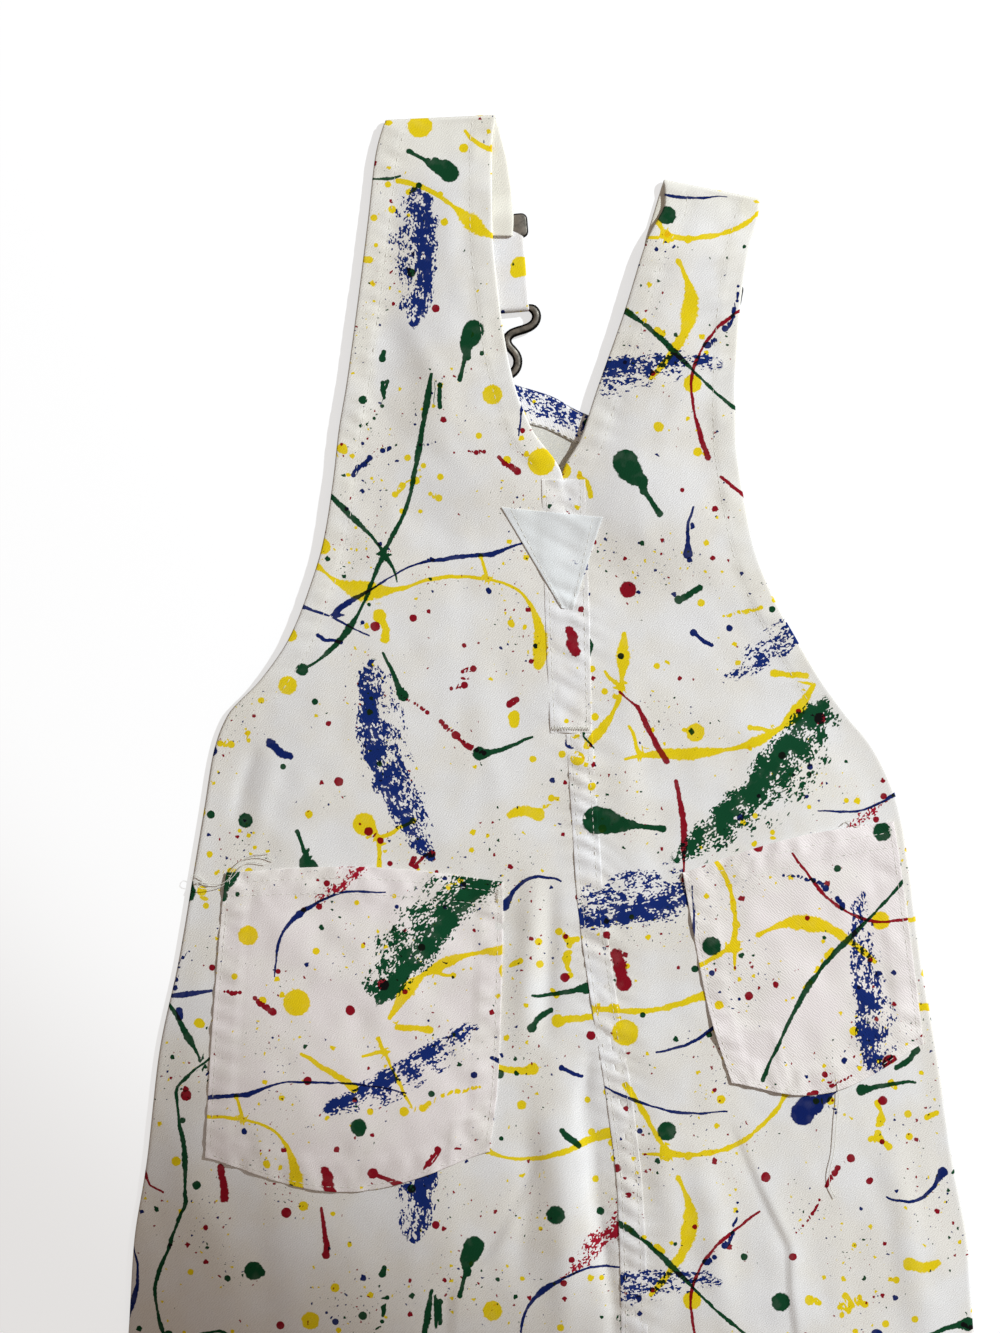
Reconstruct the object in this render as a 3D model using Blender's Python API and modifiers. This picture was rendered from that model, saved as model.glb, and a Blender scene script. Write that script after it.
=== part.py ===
"""A child's bib overalls in cotton twill, laid flat with the back up.

The straps are cut in one with the back. The cloth of each side runs from its strap end, under
the shoulder fold, over the back and the seat to the leg hem, and is a strap piece and a back
piece here. The fronts and the bib lie under it.
Everything is in metres with +Z up and +Y towards the straps. The tables are in millimetres.
"""

import math
from typing import NamedTuple

import bmesh
import bpy
import numpy as np
from mathutils import Matrix, Vector

MM = 0.001
ROUNDING = 1e-6

# Cloth
CLOTH = 1.0  # thickness of the twill
GAP = 0.3  # between pieces that touch
LAYER = CLOTH + GAP  # from one piece to the next one lying on it
MID = CLOTH / 2  # height of the middle of a piece lying on the ground

# How the layers lie
SHOULDER_HEIGHT = 2.1  # underside of the strap at its fold
BODY_LOFT = 1.6  # how far the back stands clear of the front between the side folds
LOFT_REACH = 45.0  # from a side fold to the full loft
EDGE_ROLL = 2.3  # width in which the cloth turns down to the ground at a side fold
FOLD_STEP = 2.4  # how far a front piece stays inside the rolled edge of the back
STRAP_RISE_Y = 345.0  # the strap starts to rise to its shoulder fold here
HARDWARE_LIFT = 2.8  # extra height of the back over the strap hardware and the bib buttons
HARDWARE_FULL, HARDWARE_REACH = 14.0, 44.0  # radius at full lift, and where the lift ends
HARDWARE_FADE = (6.0, 26.0)  # below the shoulder fold: no lift, then the length of its growth
STRIP_LIFT = 0.15  # extra clearance of a narrow piece over the curved cloth below it
SIDE_FOLD_TOP, SIDE_FOLD_FULL = 235.0, 195.0  # the armholes end and the side folds start
CROTCH_Y = -72.0
INSEAM_FULL_Y = -110.0

# Hardware
STRAP_WIDTH = 20.5
STRAP_LEAN = {"left": math.radians(4.5), "right": math.radians(-10.0)}
SLIDER_AT = {"left": (-22.9, 401.2), "right": (60.7, 376.5)}
SLIDER_SIZE = (25.2, 9.4, 1.2)
SLIDER_Z = 1.9
SLIDER_CORNER = 2.4  # radius
SLIDER_BAR = 1.5  # width of the middle bar, between the slots
SLIDER_FRAME = (2.0, 1.7)  # width of the plate beside and beyond the slots
SLOT_CORNER = 0.5  # radius
HOOK_WIRE = 1.0  # radius
LOOP_TOP, LOOP_END = 0.4, -31.4  # centres of the loop's two bends, along the strap
LOOP_TOP_RADIUS, LOOP_END_RADIUS = 0.9, 1.3  # inside the bends
HOOK_LIFT = 0.1  # clearance of the hook's eye over the ground
BUTTON_AT = {"left": (-26.0, 321.0), "right": (47.5, 297.5)}
BUTTON_HEAD, BUTTON_NECK = (7.5, 1.6), (2.8, 0.8)  # radius and height
BUTTON_EDGE = 0.4  # chamfer
BUTTON_LIFT = BUTTON_HEAD[1] + BUTTON_NECK[1] + GAP
BUTTON_FULL, BUTTON_REACH = 9.0, 32.0


class Rung(NamedTuple):
    """One section across a piece, from its outer or left edge to its inner or right edge."""

    outer_x: float
    outer_y: float
    inner_x: float
    inner_y: float


class BodyRow(NamedTuple):
    """One level across the back: its left edge, the centre seam and its right edge."""

    y: float
    left: float
    seam: float
    right: float


class LegRow(NamedTuple):
    """One level across the legs, from left to right."""

    y: float
    left_outer: float
    left_inner: float
    right_inner: float
    right_outer: float


class Fold(NamedTuple):
    """A soft crease along a line: above the cloth when height is positive, or below it."""

    start: tuple
    end: tuple
    half_width: float
    height: float


# The strap from its fold down to the V of the neck.
STRAPS = {
    "left": [
        Rung(-65.5, 443.0, -23.0, 445.0),
        Rung(-69.0, 430.5, -24.5, 431.5),
        Rung(-72.5, 401.0, -24.4, 404.0),
        Rung(-76.4, 370.0, -21.4, 370.0),
        Rung(-80.5, 340.0, -16.0, 340.6),
        Rung(-83.5, 322.0, -9.0, 322.5),
    ],
    "right": [
        Rung(80.0, 412.4, 43.0, 419.8),
        Rung(78.6, 403.5, 43.4, 411.0),
        Rung(75.0, 391.0, 36.5, 396.5),
        Rung(71.5, 367.0, 27.3, 367.5),
        Rung(69.9, 337.0, 16.6, 337.0),
        Rung(70.2, 319.0, 10.6, 319.0),
    ],
}
# The strap end that is folded under, from the slider up to just under the fold.
STRAP_ENDS = {
    "left": [
        Rung(-35.5, 404.1, -15.2, 404.1),
        Rung(-42.0, 412.0, -16.6, 413.0),
        Rung(-54.0, 428.0, -18.8, 429.0),
    ],
    "right": [
        Rung(71.3, 377.7, 51.1, 381.2),
        Rung(72.0, 388.0, 35.5, 393.0),
        Rung(75.5, 399.5, 38.8, 406.0),
    ],
}
BODY = [
    BodyRow(303.5, -85.6, 3.2, 72.0),
    BodyRow(280.0, -89.3, 4.8, 76.6),
    BodyRow(260.0, -95.2, 7.1, 83.7),
    BodyRow(241.0, -103.0, 8.2, 93.9),
    BodyRow(225.0, -114.0, 9.1, 103.6),
    BodyRow(211.0, -127.0, 9.8, 114.0),
    BodyRow(198.0, -132.1, 10.7, 124.5),
    BodyRow(175.0, -136.0, 12.3, 134.2),
    BodyRow(151.0, -140.0, 13.8, 138.1),
    BodyRow(116.0, -145.9, 17.6, 142.7),
    BodyRow(80.0, -153.5, 22.8, 148.8),
    BodyRow(38.0, -158.3, 28.6, 155.0),
    BodyRow(5.0, -163.4, 30.8, 160.8),
    BodyRow(-28.0, -165.4, 31.2, 163.0),
]
LEGS = [
    LegRow(-72.0, -169.0, 25.5, 26.1, 166.0),
    LegRow(-130.0, -170.0, 17.5, 27.0, 168.6),
    LegRow(-250.0, -165.0, 5.0, 25.5, 170.0),
    LegRow(-445.5, -154.0, -8.0, 22.0, 168.5),
]
# The bib from its top edge to the level where it reaches the side folds.
BIB = [
    Rung(-44.0, 344.0, 66.0, 312.0),
    Rung(-46.5, 331.0, 66.3, 301.5),
    Rung(-54.0, 305.0, 68.5, 285.0),
    Rung(-70.0, 268.0, 76.5, 262.0),
    Rung(-92.0, 234.0, 90.0, 238.0),
    Rung(-119.0, 209.0, 103.0, 217.0),
]
BIB_LOWER_LEVELS = (196.0, 175.0, 150.0)
BIB_STATIONS = [0.0, 0.5, 1.0, 1.5, 2.0, 2.5, 3.0, 3.5, 4.0, 4.5, 5.0, 6.0, 7.0, 8.0, 9.0]
BIB_FACING_ROWS = 3  # how many of the bib's rows the facing covers
# How far the bib's top edge rises above a straight line, by the share of its width.
BIB_RISE = [(0.0, 0.0), (0.25, 4.2), (0.37, 4.1), (0.5, 1.0), (0.75, -1.2), (1.0, 0.0)]
BIB_RISE_FADE = 50.0
WAIST_Y = 130.0
FRONT_SEAM = [(130.0, 12.0), (40.0, 16.0), (-20.0, 23.0), (-72.0, 25.8)]  # y and x
FRONT_ROWS = 8  # from the waist to the crotch
FRONT_LEG_LEVELS = [-110.0, -150.0, -250.0, -350.0, -445.5]

# A pocket's sections, from its mouth down, and how far the middle of each hangs below its ends.
POCKETS = {
    "left": [
        (Rung(-127.5, 150.3, -19.9, 146.8), -4.0),
        (Rung(-129.0, 139.0, -19.9, 135.0), -2.5),
        (Rung(-134.0, 75.0, -21.6, 74.0), 4.0),
        (Rung(-135.7, 39.5, -25.0, 41.9), 14.6),
    ],
    "right": [
        (Rung(49.9, 150.3, 132.0, 170.2), -3.2),
        (Rung(51.9, 139.4, 133.9, 158.9), -2.0),
        (Rung(60.5, 94.9, 141.2, 104.0), 5.0),
        (Rung(69.0, 68.5, 143.6, 83.6), 11.5),
    ],
}
NECK_PATCH = [Rung(-20.6, 292.2, 18.7, 288.3), Rung(3.0, 253.2, 7.2, 252.6)]
BACK_BAND = [(250.0, -3.5, 13.6), (204.5, -1.5, 14.6)]  # y, left edge and right edge
BACK_FELL = [
    (204.0, 4.6, 14.8),
    (170.0, 6.9, 17.0),
    (139.0, 9.0, 19.2),
    (100.0, 14.3, 24.4),
    (63.0, 20.2, 30.2),
    (22.0, 24.8, 34.6),
    (-28.0, 26.0, 36.2),
    (-68.0, 21.6, 30.6),
]
FOLDS = [
    Fold((14.0, 70.0), (21.5, -22.0), 6.5, -1.2),
    Fold((2.0, 100.0), (8.0, -30.0), 11.0, 1.3),
    Fold((0.0, 168.0), (-6.0, 98.0), 11.0, 0.9),
    Fold((-96.0, -60.0), (-92.0, -330.0), 26.0, 1.2),
    Fold((92.0, -90.0), (100.0, -380.0), 24.0, 1.2),
]

ROW_PITCH = {"strap": 14.0, "body": 16.5, "leg": 27.0, "pocket": 16.0, "strip": 12.0}
COLUMNS = {"bib": 12, "front": 5, "pocket": 8, "band": 4, "fell": 3, "patch": 5}
# Where the columns of a back half lie: a distance from an edge, at most this share of the width.
OUTER_COLUMNS = [(0.0, 0.0), (0.55, 0.03), (2.3, 0.08), (12.0, 0.24)]
INNER_COLUMNS = [
    (50.0, 0.52), (32.0, 0.4), (18.0, 0.26), (9.0, 0.13), (2.3, 0.05), (0.55, 0.02), (0.0, 0.0)
]
MIDDLE_COLUMNS = 2
# The cloth's turn at the shoulder fold, in degrees round its centre, from under to over.
SHOULDER_TURN = (-90.0, -40.0, 0.0, 40.0, 90.0)
FAR = 1000.0  # a distance beyond the reach of any edge

TWILL = (0.76, 0.75, 0.73)
TWILL_PALE = (0.80, 0.80, 0.79)
GUNMETAL = (0.12, 0.11, 0.10)


def smoothstep(t):
    t = min(max(t, 0.0), 1.0)
    return t * t * (3.0 - 2.0 * t)


def steady_curve(stations, values, at):
    """A smooth curve through the values that never overshoots them."""
    stations, values = np.asarray(stations, float), np.asarray(values, float)
    step = np.diff(stations)
    slope = np.diff(values) / step
    tangent = np.zeros_like(values)
    tangent[0], tangent[-1] = slope[0], slope[-1]
    for i in range(1, len(values) - 1):
        if slope[i - 1] * slope[i] > 0:
            weight = (step[i - 1] + 2 * step[i]) / (3 * (step[i - 1] + step[i]))
            tangent[i] = 1 / ((1 - weight) / slope[i - 1] + weight / slope[i])
    i = np.clip(np.searchsorted(stations, at) - 1, 0, len(step) - 1)
    t = (at - stations[i]) / step[i]
    rise = values[i] * (2 * t**3 - 3 * t**2 + 1) + values[i + 1] * (3 * t**2 - 2 * t**3)
    return rise + step[i] * (tangent[i] * (t**3 - 2 * t**2 + t) + tangent[i + 1] * (t**3 - t**2))


def resample(rungs, stations):
    """Rungs at the stations, where station 0 is the first rung and each next one counts 1."""
    columns = np.array(rungs, float).T
    spots = np.arange(len(rungs))
    return [Rung(*(float(steady_curve(spots, c, s)) for c in columns)) for s in stations]


def evenly(rungs, pitch):
    """Stations about a pitch apart along the rungs, with every rung among them."""
    stations = []
    for i, (a, b) in enumerate(zip(rungs, rungs[1:])):
        middle_a = Vector(((a.outer_x + a.inner_x) / 2, (a.outer_y + a.inner_y) / 2))
        middle_b = Vector(((b.outer_x + b.inner_x) / 2, (b.outer_y + b.inner_y) / 2))
        parts = max(1, round((middle_b - middle_a).length / pitch))
        stations += [i + k / parts for k in range(parts)]
    return stations + [len(rungs) - 1]


def near_line(x, y, start, end, full, reach):
    """1 within full of the line, falling softly to 0 at reach from it."""
    a, b, p = Vector(start), Vector(end), Vector((x, y))
    along = min(max((p - a).dot(b - a) / (b - a).length_squared, 0.0), 1.0)
    return smoothstep((reach - (p - a - along * (b - a)).length) / (reach - full))


def fold_height(x, y):
    """The creases together. Each one fades out towards both of its ends."""
    total = 0.0
    for fold in FOLDS:
        a, b, p = Vector(fold.start), Vector(fold.end), Vector((x, y))
        along = (p - a).dot(b - a) / (b - a).length_squared
        if 0.0 < along < 1.0:
            across = (p - a - along * (b - a)).length / fold.half_width
            total += fold.height * math.exp(-across * across) * math.sin(math.pi * along) ** 0.6
    return total


def back_height(x, y, side, to_outer, to_inner):
    """Height of the middle of the back's cloth, given its distances to the piece's two edges."""
    fold_share = smoothstep((SIDE_FOLD_TOP - y) / (SIDE_FOLD_TOP - SIDE_FOLD_FULL))
    inseam_share = smoothstep((CROTCH_Y - y) / (CROTCH_Y - INSEAM_FULL_Y))
    top_y = STRAPS[side][0].inner_y
    shoulder_share = smoothstep((y - STRAP_RISE_Y) / (top_y - STRAP_RISE_Y))
    inside = 1.0 - fold_share * (1.0 - smoothstep(to_outer / LOFT_REACH))
    inside *= 1.0 - inseam_share * (1.0 - smoothstep(to_inner / LOFT_REACH))
    loft = inside * (BODY_LOFT + (SHOULDER_HEIGHT - LAYER - BODY_LOFT) * shoulder_share)
    slider, button = SLIDER_AT[side], BUTTON_AT[side]
    lift = HARDWARE_LIFT * near_line(x, y, slider, button, HARDWARE_FULL, HARDWARE_REACH)
    lift *= smoothstep((top_y - HARDWARE_FADE[0] - y) / HARDWARE_FADE[1])
    height = LAYER + loft + lift + MID + fold_height(x, y) * inside
    for share, distance in ((fold_share, to_outer), (inseam_share, to_inner)):
        rolled = 1.0 - min(distance / EDGE_ROLL, 1.0)
        height -= share * (height - MID) * (1.0 - math.sqrt(1.0 - rolled**3))
    return height


def bib_height(x, y):
    """Height of the middle of the bib's cloth, which lies over its two buttons."""
    lift = max(near_line(x, y, at, (at[0], at[1] - 1.0), BUTTON_FULL, BUTTON_REACH)
               for at in BUTTON_AT.values())
    return MID + BUTTON_LIFT * lift


def material(name, colour, roughness, metallic=0.0):
    """A plain Principled material of its own for one piece."""
    made = bpy.data.materials.new(name)
    made.use_nodes = True
    shader = made.node_tree.nodes["Principled BSDF"]
    shader.inputs["Base Color"].default_value = (*colour, 1.0)
    shader.inputs["Roughness"].default_value = roughness
    shader.inputs["Metallic"].default_value = metallic
    made.diffuse_color = (*colour, 1.0)
    return made


def add_object(name, mesh, finish):
    """Puts the mesh in the scene as one named piece."""
    piece = bpy.data.objects.new(name, mesh)
    bpy.data.collections["Overalls"].objects.link(piece)
    mesh.materials.append(finish)
    mesh.shade_smooth()
    return piece


def add_thickness(piece):
    """Gives a surface the cloth's thickness, half to each side."""
    wall = piece.modifiers.new("Cloth", "SOLIDIFY")
    wall.thickness = CLOTH * MM
    wall.offset = 0.0
    wall.use_even_offset = True


def add_cloth(name, rows, columns, place, finish):
    """A grid of rows and columns, each point put in its place, with the cloth's thickness."""
    grid = bmesh.new()
    bmesh.ops.create_grid(grid, x_segments=columns - 1, y_segments=rows - 1, size=0.5)
    for vertex in grid.verts:
        column = round((vertex.co.x + 0.5) * (columns - 1))
        row = round((0.5 - vertex.co.y) * (rows - 1))
        vertex.co = Vector(place(row, column)) * MM
    grid.normal_update()
    if sum(face.normal.z * face.calc_area() for face in grid.faces) < 0:
        bmesh.ops.reverse_faces(grid, faces=grid.faces)
    mesh = bpy.data.meshes.new(name)
    grid.to_mesh(mesh)
    grid.free()
    add_thickness(add_object(name, mesh, finish))


def across(rung, distance):
    """The point at a distance from the rung's outer end, along it."""
    a = Vector((rung.outer_x, rung.outer_y))
    b = Vector((rung.inner_x, rung.inner_y))
    return a + (b - a) * (distance / (b - a).length)


def width_of(rung):
    """The rung's length."""
    return math.hypot(rung.inner_x - rung.outer_x, rung.inner_y - rung.outer_y)


def column_places(width):
    """Distances of a back half's columns from its outer edge, close together near both edges."""
    outer = [min(distance, share * width) for distance, share in OUTER_COLUMNS]
    inner = [width - min(distance, share * width) for distance, share in INNER_COLUMNS]
    room = inner[0] - outer[-1]
    middle = [outer[-1] + room * (k + 1) / (MIDDLE_COLUMNS + 1) for k in range(MIDDLE_COLUMNS)]
    return outer + middle + inner


def side_ladder(side):
    """The rungs of one back half from the shoulder fold to the hem."""
    left = side == "left"
    half_gap = -GAP / 2 if left else GAP / 2
    body = [Rung(r.left if left else r.right, r.y, r.seam + half_gap, r.y) for r in BODY]
    legs = [
        Rung(r.left_outer if left else r.right_outer, r.y,
             r.left_inner if left else r.right_inner, r.y)
        for r in LEGS
    ]
    return STRAPS[side] + body + legs


def ladder_rows(side):
    """The back half's resampled rungs, close together at the strap and wider down the leg."""
    ladder = side_ladder(side)
    crotch = len(ladder) - len(LEGS)
    body_start = len(STRAPS[side])
    strap_and_body, leg = ladder[: crotch + 1], ladder[crotch:]
    stations = []
    for i, (a, b) in enumerate(zip(strap_and_body, strap_and_body[1:])):
        pitch = ROW_PITCH["strap" if i < body_start else "body"]
        parts = max(1, round(abs(a.inner_y - b.inner_y) / pitch))
        stations += [i + k / parts for k in range(parts)]
    return resample(strap_and_body, stations) + resample(leg, evenly(leg, ROW_PITCH["leg"]))


def moved(rung, distance):
    """The rung, further up the garment by the distance."""
    return Rung(rung.outer_x, rung.outer_y + distance, rung.inner_x, rung.inner_y + distance)


def strap_end_rows(side):
    """The folded-under strap end and its turn round the shoulder fold.

    Each row is its rung, its shift out past the fold, and its height.
    """
    rows = []
    for rung in resample(STRAP_ENDS[side], evenly(STRAP_ENDS[side], ROW_PITCH["strap"])):
        rows.append((rung, 0.0, MID))
    radius = SHOULDER_HEIGHT / 2
    for angle in SHOULDER_TURN:
        turn = math.radians(angle)
        shift = radius * (math.cos(turn) - 1.0)
        rows.append((STRAPS[side][0], shift, MID + radius * (1 + math.sin(turn))))
    return rows


def add_back_piece(name, side, rows, finish):
    """A length of the back's cloth. A row with no height lies on what is below the back."""
    fold = STRAPS[side][0]
    along = Vector((fold.inner_x - fold.outer_x, fold.inner_y - fold.outer_y)).normalized()
    out = Vector((-along.y, along.x))
    out = out if out.y > 0 else -out

    def place(row, column):
        rung, shift, height = rows[row]
        width = width_of(rung)
        distance = column_places(width)[column]
        point = across(rung, distance) + out * shift
        if height is None:
            height = back_height(point.x, point.y, side, distance, width - distance)
        return (point.x, point.y, height)

    columns = len(OUTER_COLUMNS) + MIDDLE_COLUMNS + len(INNER_COLUMNS)
    add_cloth(name, len(rows), columns, place, finish)


def add_back_half(side):
    """The strap, from its folded-under end to its base, and the back and leg below it."""
    base = STRAPS[side][-1]
    rungs = ladder_rows(side)
    cut = next(i for i, rung in enumerate(rungs) if rung.inner_y < base.inner_y + ROUNDING)
    strap = rungs[1:cut] + [moved(rungs[cut], GAP / 2)]
    back = [moved(rungs[cut], -GAP / 2)] + rungs[cut + 1:]
    strap_rows = strap_end_rows(side) + [(rung, 0.0, None) for rung in strap]
    back_rows = [(rung, 0.0, None) for rung in back]
    add_back_piece(f"strap_{side}", side, strap_rows, material(f"Twill strap {side}", TWILL, 0.9))
    add_back_piece(f"back_{side}", side, back_rows, material(f"Twill back {side}", TWILL, 0.9))


def edge_at(side, y):
    """The back's outer edge at a level, from the rungs of its side."""
    ladder = side_ladder(side)
    levels = [-rung.outer_y for rung in ladder]
    return float(steady_curve(levels, [rung.outer_x for rung in ladder], -y))


def inner_edge_at(side, y):
    """The back's inner edge at a level: the neck, the centre seam or the inseam."""
    ladder = side_ladder(side)
    levels = [-rung.inner_y for rung in ladder]
    return float(steady_curve(levels, [rung.inner_x for rung in ladder], -y))


def seam_height(x, y):
    """Height of the middle of the back's cloth at the centre, away from its side folds."""
    side = "left" if x < inner_edge_at("left", y) else "right"
    to_outer = abs(x - edge_at(side, y))
    return back_height(x, y, side, to_outer, FAR)


def add_front(side):
    """A front leg piece, flat on the ground, just inside the rolled edges of the back."""
    inward = FOLD_STEP if side == "left" else -FOLD_STEP
    half_gap = -GAP / 2 if side == "left" else GAP / 2
    seam_y, seam_x = zip(*FRONT_SEAM)
    levels = list(np.linspace(WAIST_Y - GAP, CROTCH_Y, FRONT_ROWS)) + FRONT_LEG_LEVELS
    parts = COLUMNS["front"] - 1

    def place(row, column):
        y = levels[row]
        outer = edge_at(side, y) + inward
        share = smoothstep((CROTCH_Y - y) / (CROTCH_Y - INSEAM_FULL_Y))
        seam = float(np.interp(-y, [-v for v in seam_y], seam_x)) + half_gap
        inner = seam if y >= CROTCH_Y else inner_edge_at(side, y) - inward * share
        return (outer + (inner - outer) * column / parts, y, MID)

    finish = material(f"Twill front {side}", TWILL, 0.9)
    add_cloth(f"front_{side}", len(levels), COLUMNS["front"], place, finish)


def bib_rungs():
    """The bib's sections, with the last ones following the side folds down to the waist."""
    lower = [
        Rung(edge_at("left", y) + FOLD_STEP, y, edge_at("right", y) - FOLD_STEP, y)
        for y in (*BIB_LOWER_LEVELS, WAIST_Y)
    ]
    return resample(BIB + lower, BIB_STATIONS)


def bib_point(rung, share):
    """A point on the bib, with the rise of its top edge fading out below it."""
    shares, rises = zip(*BIB_RISE)
    x = rung.outer_x + (rung.inner_x - rung.outer_x) * share
    y = rung.outer_y + (rung.inner_y - rung.outer_y) * share
    top_y = BIB[0].outer_y + (BIB[0].inner_y - BIB[0].outer_y) * share
    fade = smoothstep(1.0 - (top_y - y) / BIB_RISE_FADE)
    return x, y + fade * float(steady_curve(shares, rises, share))


def add_bib():
    """The bib and, on its inner face, the facing along its top edge."""
    rungs, columns = bib_rungs(), COLUMNS["bib"]

    def place(row, column):
        x, y = bib_point(rungs[row], column / (columns - 1))
        return (x, y, bib_height(x, y))

    def place_facing(row, column):
        x, y, z = place(row, column)
        return (x, y, z + LAYER)

    add_cloth("bib", len(rungs), columns, place, material("Twill bib", TWILL, 0.9))
    add_cloth("bib_facing", BIB_FACING_ROWS, columns, place_facing,
              material("Twill facing", TWILL_PALE, 0.9))


def add_pocket(side):
    """A patch pocket on the back, with its pointed lower edge."""
    table = POCKETS[side]
    rungs = [rung for rung, _ in table]
    stations = evenly(rungs, ROW_PITCH["pocket"])
    rows = resample(rungs, stations)
    sags = steady_curve(np.arange(len(table)), [sag for _, sag in table], np.array(stations))
    columns = COLUMNS["pocket"]

    def place(row, column):
        share = column / (columns - 1)
        point = across(rows[row], share * width_of(rows[row]))
        y = point.y - sags[row] * math.sin(math.pi * share) ** 1.2
        to_outer = abs(point.x - edge_at(side, y))
        return (point.x, y, back_height(point.x, y, side, to_outer, FAR) + LAYER)

    finish = material(f"Twill pocket {side}", TWILL_PALE, 0.9)
    add_cloth(f"pocket_{side}", len(rows), columns, place, finish)


def add_strip(name, table, columns, finish):
    """A strip down the centre seam, on the two back halves."""
    levels, lefts, rights = (list(column) for column in zip(*table))
    down = [-y for y in levels]
    count = round((levels[0] - levels[-1]) / ROW_PITCH["strip"]) + 1
    ys = np.linspace(levels[0], levels[-1], count)

    def place(row, column):
        y = float(ys[row])
        left = float(steady_curve(down, lefts, -y))
        right = float(steady_curve(down, rights, -y))
        x = left + (right - left) * column / (columns - 1)
        return (x, y, seam_height(x, y) + LAYER + STRIP_LIFT)

    add_cloth(name, count, columns, place, finish)


def add_neck_patch():
    """The three-cornered patch below the V of the neck."""
    rows = resample(NECK_PATCH, evenly(NECK_PATCH, ROW_PITCH["strip"]))
    columns = COLUMNS["patch"]

    def place(row, column):
        point = across(rows[row], width_of(rows[row]) * column / (columns - 1))
        return (point.x, point.y, seam_height(point.x, point.y) + LAYER + STRIP_LIFT)

    add_cloth("neck_patch", len(rows), columns, place, material("Patch", TWILL_PALE, 0.8))


def strap_place(side):
    """Matrix from the strap's own frame, with its slider at the origin, to the garment's."""
    x, y = SLIDER_AT[side]
    return Matrix.Translation((x * MM, y * MM, 0.0)) @ Matrix.Rotation(STRAP_LEAN[side], 4, "Z")


def add_strap_loop(side):
    """The strap's end: a flat loop of cloth round the slider's middle bar and the hook's bar."""
    segments, half = 24, STRAP_WIDTH / 2
    top_radius, end_radius = LOOP_TOP_RADIUS + MID, LOOP_END_RADIUS + MID
    band = bmesh.new()
    bmesh.ops.create_circle(band, segments=segments, radius=1.0)
    for vertex in band.verts:
        turn = math.atan2(vertex.co.y, vertex.co.x)
        top = math.cos(turn) > -ROUNDING
        radius, centre = (top_radius, LOOP_TOP) if top else (end_radius, LOOP_END)
        vertex.co = Vector((-half, centre + radius * math.cos(turn),
                            MID + radius * (1.0 + math.sin(turn)))) * MM
    made = bmesh.ops.extrude_edge_only(band, edges=band.edges)
    moved = [item for item in made["geom"] if isinstance(item, bmesh.types.BMVert)]
    bmesh.ops.translate(band, verts=moved, vec=(STRAP_WIDTH * MM, 0.0, 0.0))
    bmesh.ops.recalc_face_normals(band, faces=band.faces)
    bmesh.ops.transform(band, matrix=strap_place(side), verts=band.verts)
    mesh = bpy.data.meshes.new(f"strap_loop_{side}")
    band.to_mesh(mesh)
    band.free()
    add_thickness(add_object(mesh.name, mesh, material(f"Twill loop {side}", TWILL, 0.9)))


def rounded_box_points(x_range, y_range, radius, steps):
    """A rectangle's outline with round corners, anticlockwise."""
    corners = [(x_range[1], y_range[1], 0), (x_range[0], y_range[1], 90),
               (x_range[0], y_range[0], 180), (x_range[1], y_range[0], 270)]
    points = []
    for x, y, start in corners:
        centre_x = x - math.copysign(radius, x - sum(x_range) / 2)
        centre_y = y - math.copysign(radius, y - sum(y_range) / 2)
        for k in range(steps + 1):
            turn = math.radians(start + 90 * k / steps)
            points.append((centre_x + radius * math.cos(turn), centre_y + radius * math.sin(turn)))
    return points


def add_slider(side):
    """A flat plate with two slots, on which the strap's length is set."""
    width, height, thickness = SLIDER_SIZE
    outline = bpy.data.curves.new(f"slider_{side}", "CURVE")
    outline.dimensions, outline.fill_mode = "2D", "BOTH"
    outline.extrude = thickness / 2 * MM
    slot_end = width / 2 - SLIDER_FRAME[0]
    slot_low, slot_high = SLIDER_BAR / 2, height / 2 - SLIDER_FRAME[1]
    rings = [
        rounded_box_points((-width / 2, width / 2), (-height / 2, height / 2), SLIDER_CORNER, 5),
        rounded_box_points((-slot_end, slot_end), (slot_low, slot_high), SLOT_CORNER, 2),
        rounded_box_points((-slot_end, slot_end), (-slot_high, -slot_low), SLOT_CORNER, 2),
    ]
    for ring in rings:
        spline = outline.splines.new("POLY")
        spline.points.add(len(ring) - 1)
        spline.use_cyclic_u = True
        for point, (x, y) in zip(spline.points, ring):
            point.co = (x * MM, y * MM, 0.0, 1.0)
    guide = bpy.data.objects.new("slider_outline", outline)
    bpy.data.collections["Overalls"].objects.link(guide)
    bpy.context.view_layer.update()
    graph = bpy.context.evaluated_depsgraph_get()
    mesh = bpy.data.meshes.new_from_object(guide.evaluated_get(graph))
    mesh.name = f"slider_{side}"
    bpy.data.objects.remove(guide)
    plate = bmesh.new()
    plate.from_mesh(mesh)
    bmesh.ops.remove_doubles(plate, verts=plate.verts, dist=ROUNDING)
    bmesh.ops.transform(plate, verts=plate.verts,
                        matrix=strap_place(side) @ Matrix.Translation((0, 0, SLIDER_Z * MM)))
    plate.to_mesh(mesh)
    plate.free()
    piece = add_object(mesh.name, mesh, material(f"Metal slider {side}", GUNMETAL, 0.4, 1.0))
    piece.data.set_sharp_from_angle(angle=math.radians(40))


def hook_route():
    """The hook's wire once round, from the middle of its bar by the foot of its eye."""
    half = [
        (0.0, 0.0), (5.0, 0.0), (10.0, 0.0), (12.2, -0.7), (13.4, -2.6), (13.2, -5.0),
        (11.6, -7.0), (8.8, -8.5), (5.6, -9.5), (3.1, -10.8), (2.2, -12.6), (2.7, -14.6),
        (4.4, -16.6), (5.8, -19.0), (6.0, -21.6), (4.9, -24.1), (2.7, -25.8), (0.0, -26.4),
    ]
    return half + [(-x, y) for x, y in reversed(half[1:-1])]


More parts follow.
